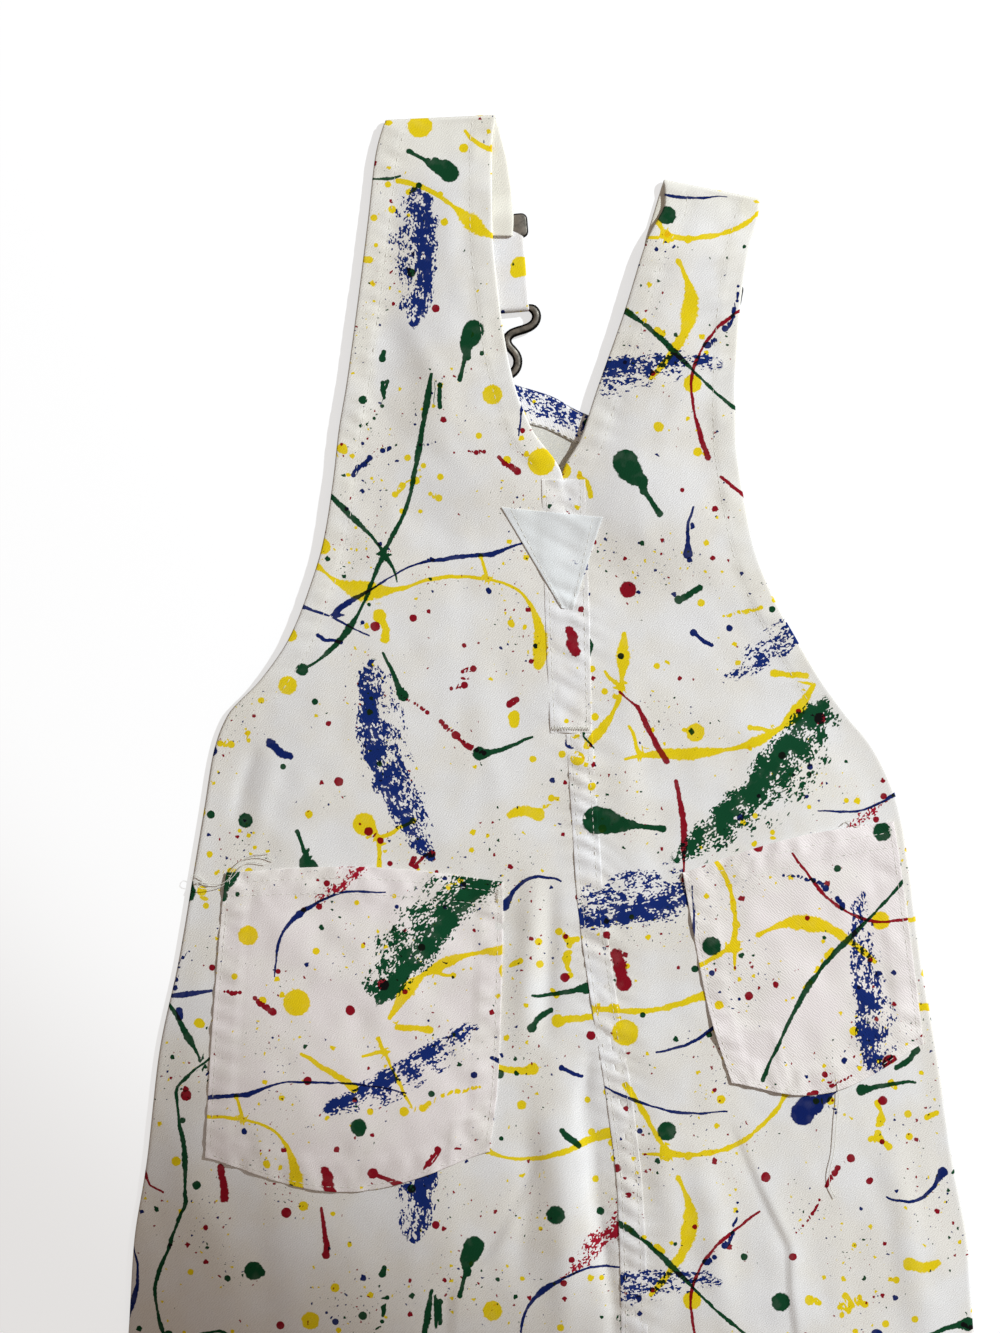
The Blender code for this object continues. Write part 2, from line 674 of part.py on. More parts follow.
def add_hook(side):
    """The bib hook: one loop of wire with a strap bar, a neck and a button eye."""
    route = hook_route()
    wire = bpy.data.curves.new(f"hook_{side}", "CURVE")
    wire.dimensions = "3D"
    wire.bevel_depth, wire.bevel_resolution = HOOK_WIRE * MM, 1
    spline = wire.splines.new("POLY")
    spline.points.add(len(route) - 1)
    spline.use_cyclic_u = True
    bar_height = MID + LOOP_END_RADIUS + MID
    lying = HOOK_WIRE + HOOK_LIFT
    deepest = min(y for _, y in route)
    for point, (x, y) in zip(spline.points, route):
        height = bar_height + (lying - bar_height) * smoothstep(y / deepest)
        point.co = (x * MM, (LOOP_END + y) * MM, height * MM, 1.0)
    piece = bpy.data.objects.new(f"hook_{side}", wire)
    bpy.data.collections["Overalls"].objects.link(piece)
    piece.matrix_world = strap_place(side)
    wire.materials.append(material(f"Metal hook {side}", GUNMETAL, 0.35, 1.0))


def add_button(side):
    """A bib button: a flat head on the ground and its neck, turned about their axis."""
    (head, head_height), (neck, neck_height) = BUTTON_HEAD, BUTTON_NECK
    top = head_height + neck_height
    profile = [
        (0.0, top), (neck, top), (neck, head_height), (head - BUTTON_EDGE, head_height),
        (head, head_height - BUTTON_EDGE), (head, BUTTON_EDGE), (head - BUTTON_EDGE, 0.0),
        (0.0, 0.0),
    ]
    outline = bmesh.new()
    points = [outline.verts.new((r * MM, 0.0, z * MM)) for r, z in profile]
    for a, b in zip(points, points[1:]):
        outline.edges.new((a, b))
    mesh = bpy.data.meshes.new(f"bib_button_{side}")
    outline.to_mesh(mesh)
    outline.free()
    piece = add_object(mesh.name, mesh, material(f"Metal button {side}", GUNMETAL, 0.4, 1.0))
    piece.location = (BUTTON_AT[side][0] * MM, BUTTON_AT[side][1] * MM, 0.0)
    turn = piece.modifiers.new("Turned", "SCREW")
    turn.steps = turn.render_steps = 20
    turn.use_merge_vertices = True
    turn.merge_threshold = 1e-5


def main():
    """Clears the scene and builds every piece in the collection Overalls."""
    for item in list(bpy.data.objects):
        bpy.data.objects.remove(item)
    parts = bpy.data.collections.new("Overalls")
    bpy.context.scene.collection.children.link(parts)
    add_bib()
    add_strip("back_band", BACK_BAND, COLUMNS["band"], material("Twill band", TWILL, 0.9))
    add_strip("back_fell", BACK_FELL, COLUMNS["fell"], material("Twill fell", TWILL, 0.9))
    add_neck_patch()
    for side in ("left", "right"):
        add_back_half(side)
        add_front(side)
        add_pocket(side)
        add_strap_loop(side)
        add_slider(side)
        add_hook(side)
        add_button(side)


main()
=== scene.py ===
"""The looks of a child's bib overalls in spatter printed twill, laid flat with the back up.

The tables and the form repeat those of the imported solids, in millimetres. Each piece is made in
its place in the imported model's frame, with +Z up and +Y towards the straps.
"""

import logging
import math
from dataclasses import dataclass, field
from enum import Enum
from typing import Callable, NamedTuple, Sequence

import bmesh
import bpy
import numpy as np
from mathutils import Matrix, Vector


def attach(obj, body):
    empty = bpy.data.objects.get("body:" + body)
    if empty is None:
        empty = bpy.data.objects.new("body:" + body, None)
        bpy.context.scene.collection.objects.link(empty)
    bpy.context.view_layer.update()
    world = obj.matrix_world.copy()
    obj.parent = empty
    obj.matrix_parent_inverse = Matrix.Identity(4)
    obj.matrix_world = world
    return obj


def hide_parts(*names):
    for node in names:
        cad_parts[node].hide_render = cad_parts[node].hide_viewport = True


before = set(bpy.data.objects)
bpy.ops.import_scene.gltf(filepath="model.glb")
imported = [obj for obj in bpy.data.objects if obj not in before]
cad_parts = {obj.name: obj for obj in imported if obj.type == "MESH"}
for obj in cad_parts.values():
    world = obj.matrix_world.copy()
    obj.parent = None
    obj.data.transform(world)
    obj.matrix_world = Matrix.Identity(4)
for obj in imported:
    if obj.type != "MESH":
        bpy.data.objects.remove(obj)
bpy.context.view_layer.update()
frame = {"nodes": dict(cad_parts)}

Array = np.ndarray
Colour = tuple[int, int, int]
Pair = tuple[float, float]
Triple = tuple[float, float, float]
Mesh = bpy.types.Mesh
Node = bpy.types.Node
Socket = bpy.types.NodeSocket
LOG = logging.getLogger("overalls")

MM = 0.001
ROUNDING = 1e-6
CLOTH = 0.7  # thickness of the twill
STITCH_IN = 1.9  # from the edge of a sewn-on piece to its stitches
GROUND = 0.38  # height of the middle of cloth lying on the ground
PILE = 0.78  # from the middle of a sewn-on piece to the middle of the cloth under it
FAR = 1000.0  # a distance beyond the reach of any edge
NOISE_CELLS = 97  # across the table of soft noise
BODY = "root"


class Side(Enum):
    """A half of the garment, as it lies with its back up."""

    LEFT = "left"
    RIGHT = "right"

    @property
    def inward(self) -> float:
        """+1 where the way in from the side fold is along +X, and -1 where it is along -X."""
        return 1.0 if self is Side.LEFT else -1.0


class Ink(Enum):
    """The four printed colours, each with its number in the stroke_ink attribute."""

    YELLOW = 0
    RED = 1
    GREEN = 2
    BLUE = 3

    @property
    def drops(self) -> str:
        """The name of the attribute that holds this ink's drops."""
        return f"{self.name.lower()}_drops"

    @property
    def runs(self) -> str:
        """The name of the attribute that holds this ink's runs."""
        return f"{self.name.lower()}_runs"


class Slot(Enum):
    """The record's material slots."""

    TWILL = "printed_twill"
    POCKET = "pocket_twill"
    PATCH = "patch_cloth"
    METAL = "antique_metal"


class Rung(NamedTuple):
    """One section across a piece, from its outer or left edge to its inner or right edge."""

    outer_x: float
    outer_y: float
    inner_x: float
    inner_y: float


class Crease(NamedTuple):
    """A soft line in the cloth.

    height is its ridge, or its depth where negative. step is how far the cloth on the left of
    the line, looking along it, stands above the cloth on its right.
    """

    path: tuple[Pair, ...]
    half_width: float
    height: float
    step: float = 0.0


# The straps from their folds down to the V of the neck.
STRAPS = {
    Side.LEFT: [
        Rung(-65.5, 443, -23, 445),
        Rung(-69, 430.5, -24.5, 431.5),
        Rung(-72.5, 401, -24.4, 404),
        Rung(-76.4, 370, -21.4, 370),
        Rung(-80.5, 340, -16, 340.6),
        Rung(-83.5, 322, -9, 322.5),
    ],
    Side.RIGHT: [
        Rung(80, 412.4, 43, 419.8),
        Rung(78.6, 403.5, 43.4, 411),
        Rung(75, 391, 36.5, 396.5),
        Rung(71.5, 367, 27.3, 367.5),
        Rung(69.9, 337, 16.6, 337),
        Rung(70.2, 319, 10.6, 319),
    ],
}
# The strap ends that are folded under, from the slider up to just under the fold.
STRAP_ENDS = {
    Side.LEFT: [
        Rung(-36.4, 397.9, -16.5, 397.6),
        Rung(-36.8, 404.1, -16.1, 404.1),
        Rung(-42, 412, -16.6, 413),
        Rung(-54, 428, -18.8, 429),
    ],
    Side.RIGHT: [
        Rung(70.3, 371.4, 50.4, 374.9),
        Rung(71.3, 377.7, 51.1, 381.2),
        Rung(72, 388, 35.5, 393),
        Rung(75.5, 399.5, 38.8, 406),
    ],
}
# Levels down the back: y, left edge, centre seam and right edge.
BACK_LEVELS = [
    (303.5, -85.6, 3.2, 72),
    (280, -89.3, 4.8, 76.6),
    (260, -95.2, 7.1, 83.7),
    (241, -103, 8.2, 93.9),
    (225, -114, 9.1, 103.6),
    (211, -127, 9.8, 114),
    (198, -132.1, 10.7, 124.5),
    (175, -136, 12.3, 134.2),
    (151, -140, 13.8, 138.1),
    (116, -145.9, 17.6, 142.7),
    (80, -153.5, 22.8, 148.8),
    (38, -158.3, 28.6, 155),
    (5, -163.4, 30.8, 160.8),
    (-28, -165.4, 31.2, 163),
]
# Levels down the legs: y, and each leg's outer and inner edge from left to right.
LEG_LEVELS = [
    (-72, -169, 25.5, 26.1, 166),
    (-130, -170, 17.5, 27, 168.6),
    (-250, -165, 5, 25.5, 170),
    (-445.5, -154, -8, 22, 168.5),
]
# The bib from its top edge to the level where it reaches the side folds.
BIB = [
    Rung(-44, 344, 66, 312),
    Rung(-46.5, 331, 66.3, 301.5),
    Rung(-54, 305, 68.5, 285),
    Rung(-70, 268, 76.5, 262),
    Rung(-92, 234, 90, 238),
    Rung(-119, 209, 103, 217),
]
# A pocket's sections from its mouth down, and how far the middle of each hangs below its ends.
POCKETS = {
    Side.LEFT: [
        (Rung(-127.5, 150.3, -19.9, 146.8), -4),
        (Rung(-129, 139, -19.9, 135), -2.5),
        (Rung(-134, 75, -21.6, 74), 4),
        (Rung(-135.7, 39.5, -25, 41.9), 14.6),
    ],
    Side.RIGHT: [
        (Rung(49.9, 150.3, 132, 170.2), -3.2),
        (Rung(51.9, 139.4, 133.9, 158.9), -2),
        (Rung(60.5, 94.9, 141.2, 104), 5),
        (Rung(69, 68.5, 143.6, 83.6), 11.5),
    ],
}
# Where the hardware lies: each slider's middle, each button's middle, and each strap end's turn.
SLIDERS = {Side.LEFT: (-22.9, 401.2), Side.RIGHT: (60.7, 376.5)}
BUTTONS = {Side.LEFT: (-26, 321), Side.RIGHT: (47.5, 297.5)}
STRAP_TURNS = {Side.LEFT: math.radians(4.5), Side.RIGHT: math.radians(-10)}
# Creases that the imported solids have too.
BROAD_FOLDS = [
    Crease(((14, 70), (21.5, -22)), 6.5, -1.2),
    Crease(((2, 100), (8, -30)), 11, 1.3),
    Crease(((0, 168), (-6, 98)), 11, 0.9),
    Crease(((-96, -60), (-92, -330)), 26, 1.2),
    Crease(((92, -90), (100, -380)), 24, 1.2),
]
# Finer creases. The first ones lie on the seat, and the last ones behind the knees.
FINE_CREASES = [
    Crease(((14.4, 61.3), (14.8, 25.5), (19.1, 1.7), (23, -18.2), (22, -60)), 2.8, -0.5, -0.2),
    Crease(((14, 83), (11, 59), (11.5, 40)), 2.8, -0.45),
    Crease(((-12, 66), (-9, 34), (-15, -12)), 5, -0.4),
    Crease(((-1, 60), (4, 18), (3, -40)), 6, 0.45),
    Crease(((40, 60), (44, 10), (40, -50)), 6, 0.35),
    Crease(((30, 240), (28, 180), (34, 120)), 7, 0.22),
    Crease(((-30, 230), (-24, 175)), 7, 0.2),
    Crease(((-4.7, 43.8), (-10.1, 29.4), (-24.6, 2.5), (-39.8, -12), (-43, -60)), 1, -0.16, 0.22),
    Crease(((68.6, 52.8), (80, 26.3), (90.9, 4), (90.9, -12), (97, -55)), 0.9, -0.16, 0.2),
    Crease(((-115.4, 200.2), (-120.1, 187.7), (-125.2, 169.4)), 3, -0.3),
    Crease(((-107, 197), (-113, 180), (-117, 160)), 4, 0.25),
    Crease(((-8, 152), (-12, 81)), 4.5, 0.45),
    Crease(((-1, 150), (-3.5, 84)), 3.4, -0.5),
    Crease(((-150, 60), (-138, 20), (-120, -14)), 7, 0.45),
    Crease(((-158, 30), (-146, -20)), 5, -0.35),
    Crease(((52, 50), (62, 18), (66, -30)), 6, 0.4),
    Crease(((120, 60), (136, 20), (142, -30)), 6, 0.35),
    Crease(((-60, 372), (-44, 338)), 5, 0.22),
    Crease(((-70, 330), (-30, 300)), 6, -0.2),
    Crease(((60, 352), (40, 318)), 5, 0.22),
    Crease(((-158, -212), (-96, -232), (-30, -226)), 7, -0.55),
    Crease(((-150, -246), (-84, -236), (-10, -250)), 6, 0.5),
    Crease(((-146, -168), (-100, -196)), 6, 0.4),
    Crease(((44, -222), (96, -240), (156, -228)), 7, -0.5),
    Crease(((52, -262), (110, -250), (160, -262)), 6, 0.45),
    Crease(((60, -150), (108, -182)), 6, 0.4),
]


def smoothstep(value: Array | float) -> Array:
    """A soft ramp from 0 at 0 to 1 at 1."""
    value = np.clip(value, 0.0, 1.0)
    return value * value * (3.0 - 2.0 * value)


def fade(value: Array, start: float, width: float) -> Array:
    """1 up to the start, falling softly to 0 over the width."""
    return 1.0 - smoothstep((value - start) / width)


def bump(value: Array, width: float) -> Array:
    """A soft bump, 1 where the value is 0."""
    return np.exp(-np.square(value / width))


def lengths_along(points: Array) -> Array:
    """The length along a row of points, up to each of them."""
    return np.append(0.0, np.cumsum(np.hypot.reduce(np.diff(points, axis=0), axis=1)))


def steady_curve(stations: Sequence[float], values: Sequence[float], at: Array | float) -> Array:
    """A smooth curve through the values that never overshoots them.

    Args:
        stations: where the values are, rising.
        values: one for each station.
        at: where the curve is wanted.

    Returns:
        The curve's values there.
    """
    stations, values = np.asarray(stations, float), np.asarray(values, float)
    step = np.diff(stations)
    slope = np.diff(values) / step
    tangent = np.zeros_like(values)
    tangent[0], tangent[-1] = slope[0], slope[-1]
    for i in range(1, len(values) - 1):
        if slope[i - 1] * slope[i] > 0:
            weight = (step[i - 1] + 2 * step[i]) / (3 * (step[i - 1] + step[i]))
            tangent[i] = 1 / ((1 - weight) / slope[i - 1] + weight / slope[i])
    i = np.clip(np.searchsorted(stations, at) - 1, 0, len(step) - 1)
    t = (at - stations[i]) / step[i]
    rise = values[i] * (2 * t**3 - 3 * t**2 + 1) + values[i + 1] * (3 * t**2 - 2 * t**3)
    return rise + step[i] * (tangent[i] * (t**3 - 2 * t**2 + t) + tangent[i + 1] * (t**3 - t**2))


def resample(rungs: Sequence[Rung], stations: Array) -> Array:
    """Rungs, one a row, at stations along a ladder whose own rungs are at 0, 1, 2 and so on."""
    spots = np.arange(len(rungs))
    return np.stack([steady_curve(spots, c, stations) for c in np.array(rungs).T], axis=1)


def path_distance(x: Array, y: Array, path: Array) -> tuple[Array, Array, Array]:
    """Where points lie beside a path of straight lengths.

    Args:
        x: the points' x.
        y: the points' y.
        path: the path's own points, one a row.

    Returns:
        The distance from the path, positive on its left, the length along it, and the distance
        without its sign.
    """
    nearest = np.full(np.shape(x), FAR)
    signed, along = nearest.copy(), np.zeros(np.shape(x))
    passed = 0.0
    for (ax, ay), (bx, by) in zip(path, path[1:]):
        length = math.hypot(bx - ax, by - ay)
        ux, uy = (bx - ax) / length, (by - ay) / length
        forward = np.clip((x - ax) * ux + (y - ay) * uy, 0.0, length)
        away_x, away_y = x - ax - forward * ux, y - ay - forward * uy
        distance = np.hypot(away_x, away_y)
        closer = distance < nearest
        nearest = np.where(closer, distance, nearest)
        signed = np.where(closer, distance * np.where(ux * away_y - uy * away_x < 0, -1, 1), signed)
        along = np.where(closer, passed + forward, along)
        passed += length
    return signed, along, nearest


def soft_noise(seed: int, x: Array, y: Array) -> Array:
    """Repeatable noise from -1 to 1 at points of a plane, which changes over about one unit.

    Args:
        seed: which noise.
        x: the points' x.
        y: the points' y.

    Returns:
        The noise there.
    """
    table = np.random.default_rng(seed).uniform(-1.0, 1.0, (NOISE_CELLS, NOISE_CELLS))
    left, low = np.floor(x).astype(int), np.floor(y).astype(int)
    right_share, high_share = smoothstep(x - left), smoothstep(y - low)

    def row(level: Array) -> Array:
        """The noise along one level of the table."""
        a, b = (table[(left + k) % NOISE_CELLS, level % NOISE_CELLS] for k in (0, 1))
        return a + (b - a) * right_share

    bottom, top = row(low), row(low + 1)
    return bottom + (top - bottom) * high_share


def ripples(along: Array, across: Array, pitch: float, seed: int) -> Array:
    """Uneven puckers from -1 to 1 that a row of stitches draws up.

    Args:
        along: length along the stitches.
        across: distance from them.
        pitch: the usual length of a pucker.
        seed: which puckers.

    Returns:
        Their heights.
    """
    drift = soft_noise(seed, along / (2.3 * pitch), across / 22.0)
    strength = 0.55 + 0.45 * soft_noise(seed + 1, along / (1.7 * pitch), across / 9.0)
    return strength * np.sin(2 * math.pi * (along / pitch + 0.6 * drift))


@dataclass(frozen=True)
class GarmentForm:
    """The height of the garment's layers, and the softer relief on them."""

    layer: float = 1.3
    middle: float = 0.5
    gap: float = 0.3
    shoulder_height: float = 2.1
    body_loft: float = 1.6
    loft_reach: float = 45.0
    strap_rise_y: float = 345.0
    hardware_lift: float = 2.8
    hardware_full: float = 14.0
    hardware_reach: float = 44.0
    hardware_fade: Pair = (6.0, 26.0)
    side_fold_top: float = 235.0
    side_fold_full: float = 195.0
    crotch_y: float = -72.0
    inseam_full_y: float = -110.0
    waist_y: float = 130.0
    neck_y: float = 300.0  # just below the V of the neck
    hem_y: float = -445.5
    hem: float = 9.0  # width of the turned hem of the armholes and the neck
    hem_stitch: float = 8.3  # how far in its stitches lie
    hem_rise: float = 0.24
    hem_groove: float = 0.18
    pucker: float = 0.42
    seam_pucker: float = 0.5
    crease_depth: float = 2.4

    def ladder(self, side: Side) -> list[Rung]:
        """The rungs of one back half from the shoulder fold to the leg hem.

        Args:
            side: which half.

        Returns:
            The rungs, from the top down.
        """
        left = side is Side.LEFT
        seam_gap = -side.inward * self.gap / 2
        body = [Rung(a if left else b, y, seam + seam_gap, y) for y, a, seam, b in BACK_LEVELS]
        legs = [Rung(a if left else d, y, b if left else c, y) for y, a, b, c, d in LEG_LEVELS]
        return STRAPS[side] + body + legs

    def outer_x(self, side: Side, y: Array, column: int = 0) -> Array:
        """The back's outer edge at levels."""
        x, level = np.array(self.ladder(side)).T[column : column + 2]
        return steady_curve(-level, x, -y)

    def inner_x(self, side: Side, y: Array) -> Array:
        """The back's inner edge at levels: the neck, the centre seam or the inseam."""
        return self.outer_x(side, y, 2)

    def outer_length(self, side: Side, y: Array) -> Array:
        """The length along the outer edge down to levels."""
        levels = np.linspace(self.hem_y, STRAPS[side][0].outer_y, 400)
        return np.interp(y, levels, lengths_along(np.column_stack([self.outer_x(side, levels), levels])))

    def fold_share(self, y: Array) -> Array:
        """How far the outer edge is a side fold, from 0 at an armhole to 1."""
        return smoothstep((self.side_fold_top - y) / (self.side_fold_top - self.side_fold_full))

    def inseam_share(self, y: Array) -> Array:
        """How far the inner edge is an inseam, from 0 above the crotch to 1."""
        return smoothstep((self.crotch_y - y) / (self.crotch_y - self.inseam_full_y))

    def near_hardware(self, x: Array, y: Array, side: Side) -> Array:
        """1 over a strap's hardware, falling softly to 0 around it."""
        _, _, distance = path_distance(x, y, np.array([SLIDERS[side], BUTTONS[side]]))
        return fade(distance, self.hardware_full, self.hardware_reach - self.hardware_full)

    def creases(self, x: Array, y: Array, table: Sequence[Crease]) -> Array:
        """Height of a table's creases together. Each one fades out towards both of its ends.

        Args:
            x: the points' x.
            y: the points' y.
            table: the creases.

        Returns:
            The heights.
        """
        total = np.zeros(np.shape(x))
        for crease in table:
            path = np.array(crease.path)
            signed, along, _ = path_distance(x, y, path)
            share = np.clip(along / lengths_along(path)[-1], 0.0, 1.0)
            across = signed / crease.half_width
            shape = crease.height * bump(across, 1.0) + crease.step * np.tanh(across) * bump(across, 5.0)
            total += np.sin(np.pi * share) ** 0.6 * shape
        return total

    def back_height(
        self, x: Array, y: Array, side: Side, to_outer: Array, to_inner: Array | float
    ) -> Array:
        """Height of the middle of the back's cloth without its fine relief.

        Args:
            x: the points' x.
            y: the points' y.
            side: the half that they are on.
            to_outer: their distance from its outer edge.
            to_inner: their distance from its inner edge.

        Returns:
            The heights.
        """
        inside = 1.0 - self.fold_share(y) * fade(to_outer, 0.0, self.loft_reach)
        inside = inside * (1.0 - self.inseam_share(y) * fade(to_inner, 0.0, self.loft_reach))
        top_y = STRAPS[side][0].inner_y
        shoulder = smoothstep((y - self.strap_rise_y) / (top_y - self.strap_rise_y))
        loft = self.body_loft + (self.shoulder_height - self.layer - self.body_loft) * shoulder
        lift = self.hardware_lift * self.near_hardware(x, y, side)
        lift = lift * smoothstep((top_y - self.hardware_fade[0] - y) / self.hardware_fade[1])
        folds = self.creases(x, y, BROAD_FOLDS) * inside
        return self.layer + self.middle + inside * loft + lift + folds

    def hem_relief(self, along: Array, inside: Array, seed: int) -> Array:
        """The raised band, the stitch groove and the puckers of a turned hem.

        Args:
            along: length along the edge.
            inside: distance from the edge.
            seed: which puckers.

        Returns:
            The heights to add.
        """
        band = self.hem_rise * fade(inside, self.hem - 0.6, 1.6)
        groove = -self.hem_groove * bump(inside - self.hem_stitch, 0.8)
        reach = bump(inside - 6.5, 6.0)
        slanted = along + 0.35 * inside
        fine = 0.7 * ripples(slanted, inside, 6.4, seed)
        fine += 0.5 * soft_noise(seed + 6, slanted / 3.1, inside / 6.0)
        broad = soft_noise(seed + 5, along / 11.0, inside / 14.0)
        return band + groove + self.pucker * reach * (fine + broad)

    def seam_relief(self, x: Array, y: Array) -> Array:
        """Puckers drawn up by the centre seam, between the V of the neck and the crotch.

        Args:
            x: the points' x.
            y: the points' y.

        Returns:
            The heights to add.
        """
        across = x - self.inner_x(Side.LEFT, y)
        from_seam = np.abs(across)
        on_seam = smoothstep((y - self.crotch_y) / 10.0) * smoothstep((self.neck_y - y) / 10.0)
        slanted = y + 0.45 * across
        fine = ripples(slanted, from_seam, 7.5, 31)
        broad = soft_noise(33, y / 12.0 + from_seam / 30.0, from_seam / 18.0)
        return self.seam_pucker * on_seam * bump(from_seam, 11.0) * (0.8 * fine + broad)

    def relief(self, x: Array, y: Array, side: Side, to_outer: Array, to_inner: Array) -> Array:
        """The fine relief of the back's cloth.

        Args:
            x: the points' x.
            y: the points' y.
            side: the half that they are on.
            to_outer: their distance from its outer edge.
            to_inner: their distance from its inner edge.

        Returns:
            The heights to add.
        """
        calm = 0.2 + 0.8 * smoothstep(np.minimum(to_outer, to_inner) / 14.0)
        soft = 0.315 * soft_noise(11, x / 21.0, y / 27.0) + 0.165 * soft_noise(12, x / 7.0, y / 8.5)
        drawn = 0.7 * soft_noise(13, x / 13.0 + y / 90.0, y / 80.0) * smoothstep((150.0 - y) / 170.0)
        hems = (1.0 - self.fold_share(y)) * self.hem_relief(self.outer_length(side, y), to_outer, 21)
        hems += smoothstep((y - self.neck_y) / 12.0) * self.hem_relief(y, to_inner, 23)
        creases = self.crease_depth * self.creases(x, y, FINE_CREASES)
        return (soft + drawn) * calm + hems + creases + self.seam_relief(x, y)

    def surface(self, x: Array, y: Array) -> Array:
        """Height of the middle of the back's cloth at points above the crotch.

        Args:
            x: the points' x.
            y: the points' y.

        Returns:
            The heights.
        """
        heights = []
        for side in Side:
            to_outer = np.abs(x - self.outer_x(side, y))
            to_inner = np.abs(x - self.inner_x(side, y))
            height = self.back_height(x, y, side, to_outer, FAR)
            heights.append(height + self.relief(x, y, side, to_outer, to_inner))
        return np.where(x < self.inner_x(Side.LEFT, y) + self.gap / 2, *heights)

    def strap_place(self, side: Side) -> Matrix:
        """From the strap's own frame, with its slider at the origin, to the garment's."""
        x, y = SLIDERS[side]
        return Matrix.Translation((x * MM, y * MM, 0.0)) @ Matrix.Rotation(STRAP_TURNS[side], 4, "Z")


FORM = GarmentForm()


@dataclass(frozen=True)
class Run:
    """A trickle of paint along a path, with its half width at each point."""

    ink: Ink
    path: Array
    half_width: Array


@dataclass(frozen=True)
class Blot:
    """A drop or blob of paint: round spots, each with x, y and radius, that run together."""

    ink: Ink
    spots: Array


@dataclass(frozen=True)
class Stroke:
    """A dry brush stroke along a path.

    lean is above 1 where it is widest near its end, and dryness is how much paint it loses on the way.
    """

    ink: Ink
    path: Array
    half_width: float
    lean: float
    dryness: float


@dataclass(frozen=True)
class InkHabit:
    """How many marks of each kind one ink leaves in a repeat of the cloth, and their sizes."""

    runs: int
    run_length: Pair
    run_half_width: Pair
    lump: float
    branches: int
    strokes: int
    blobs: int
    big_drops: int
    big_radius: Pair
    drops: int
    drop_radius: Pair
    tadpoles: int
    bars: int
    bar_half_width: Pair
    chains: int
    clusters: int


HABITS = {
    Ink.YELLOW: InkHabit(
        10, (40, 130), (0.7, 1.25), 2.8, 3, 0, 1, 12, (2.8, 5.6), 58, (0.9, 2.2), 4, 7, (1, 2), 4, 10
    ),
    Ink.RED: InkHabit(
        3, (80, 180), (0.7, 1.05), 0.8, 0, 1, 0, 5, (2.2, 3.6), 46, (0.9, 2.3), 1, 5, (1.2, 2.6), 5, 3
    ),
    Ink.GREEN: InkHabit(
        6, (90, 250), (0.65, 0.95), 0.8, 0, 1, 6, 7, (2.2, 4.2), 34, (0.8, 1.8), 5, 6, (0.8, 1.5), 2, 0
    ),
    Ink.BLUE: InkHabit(
        5, (50, 140), (0.4, 0.75), 0.9, 0, 5, 1, 3, (2, 3.2), 28, (0.6, 1.5), 5, 9, (0.8, 1.8), 3, 0
    ),
}


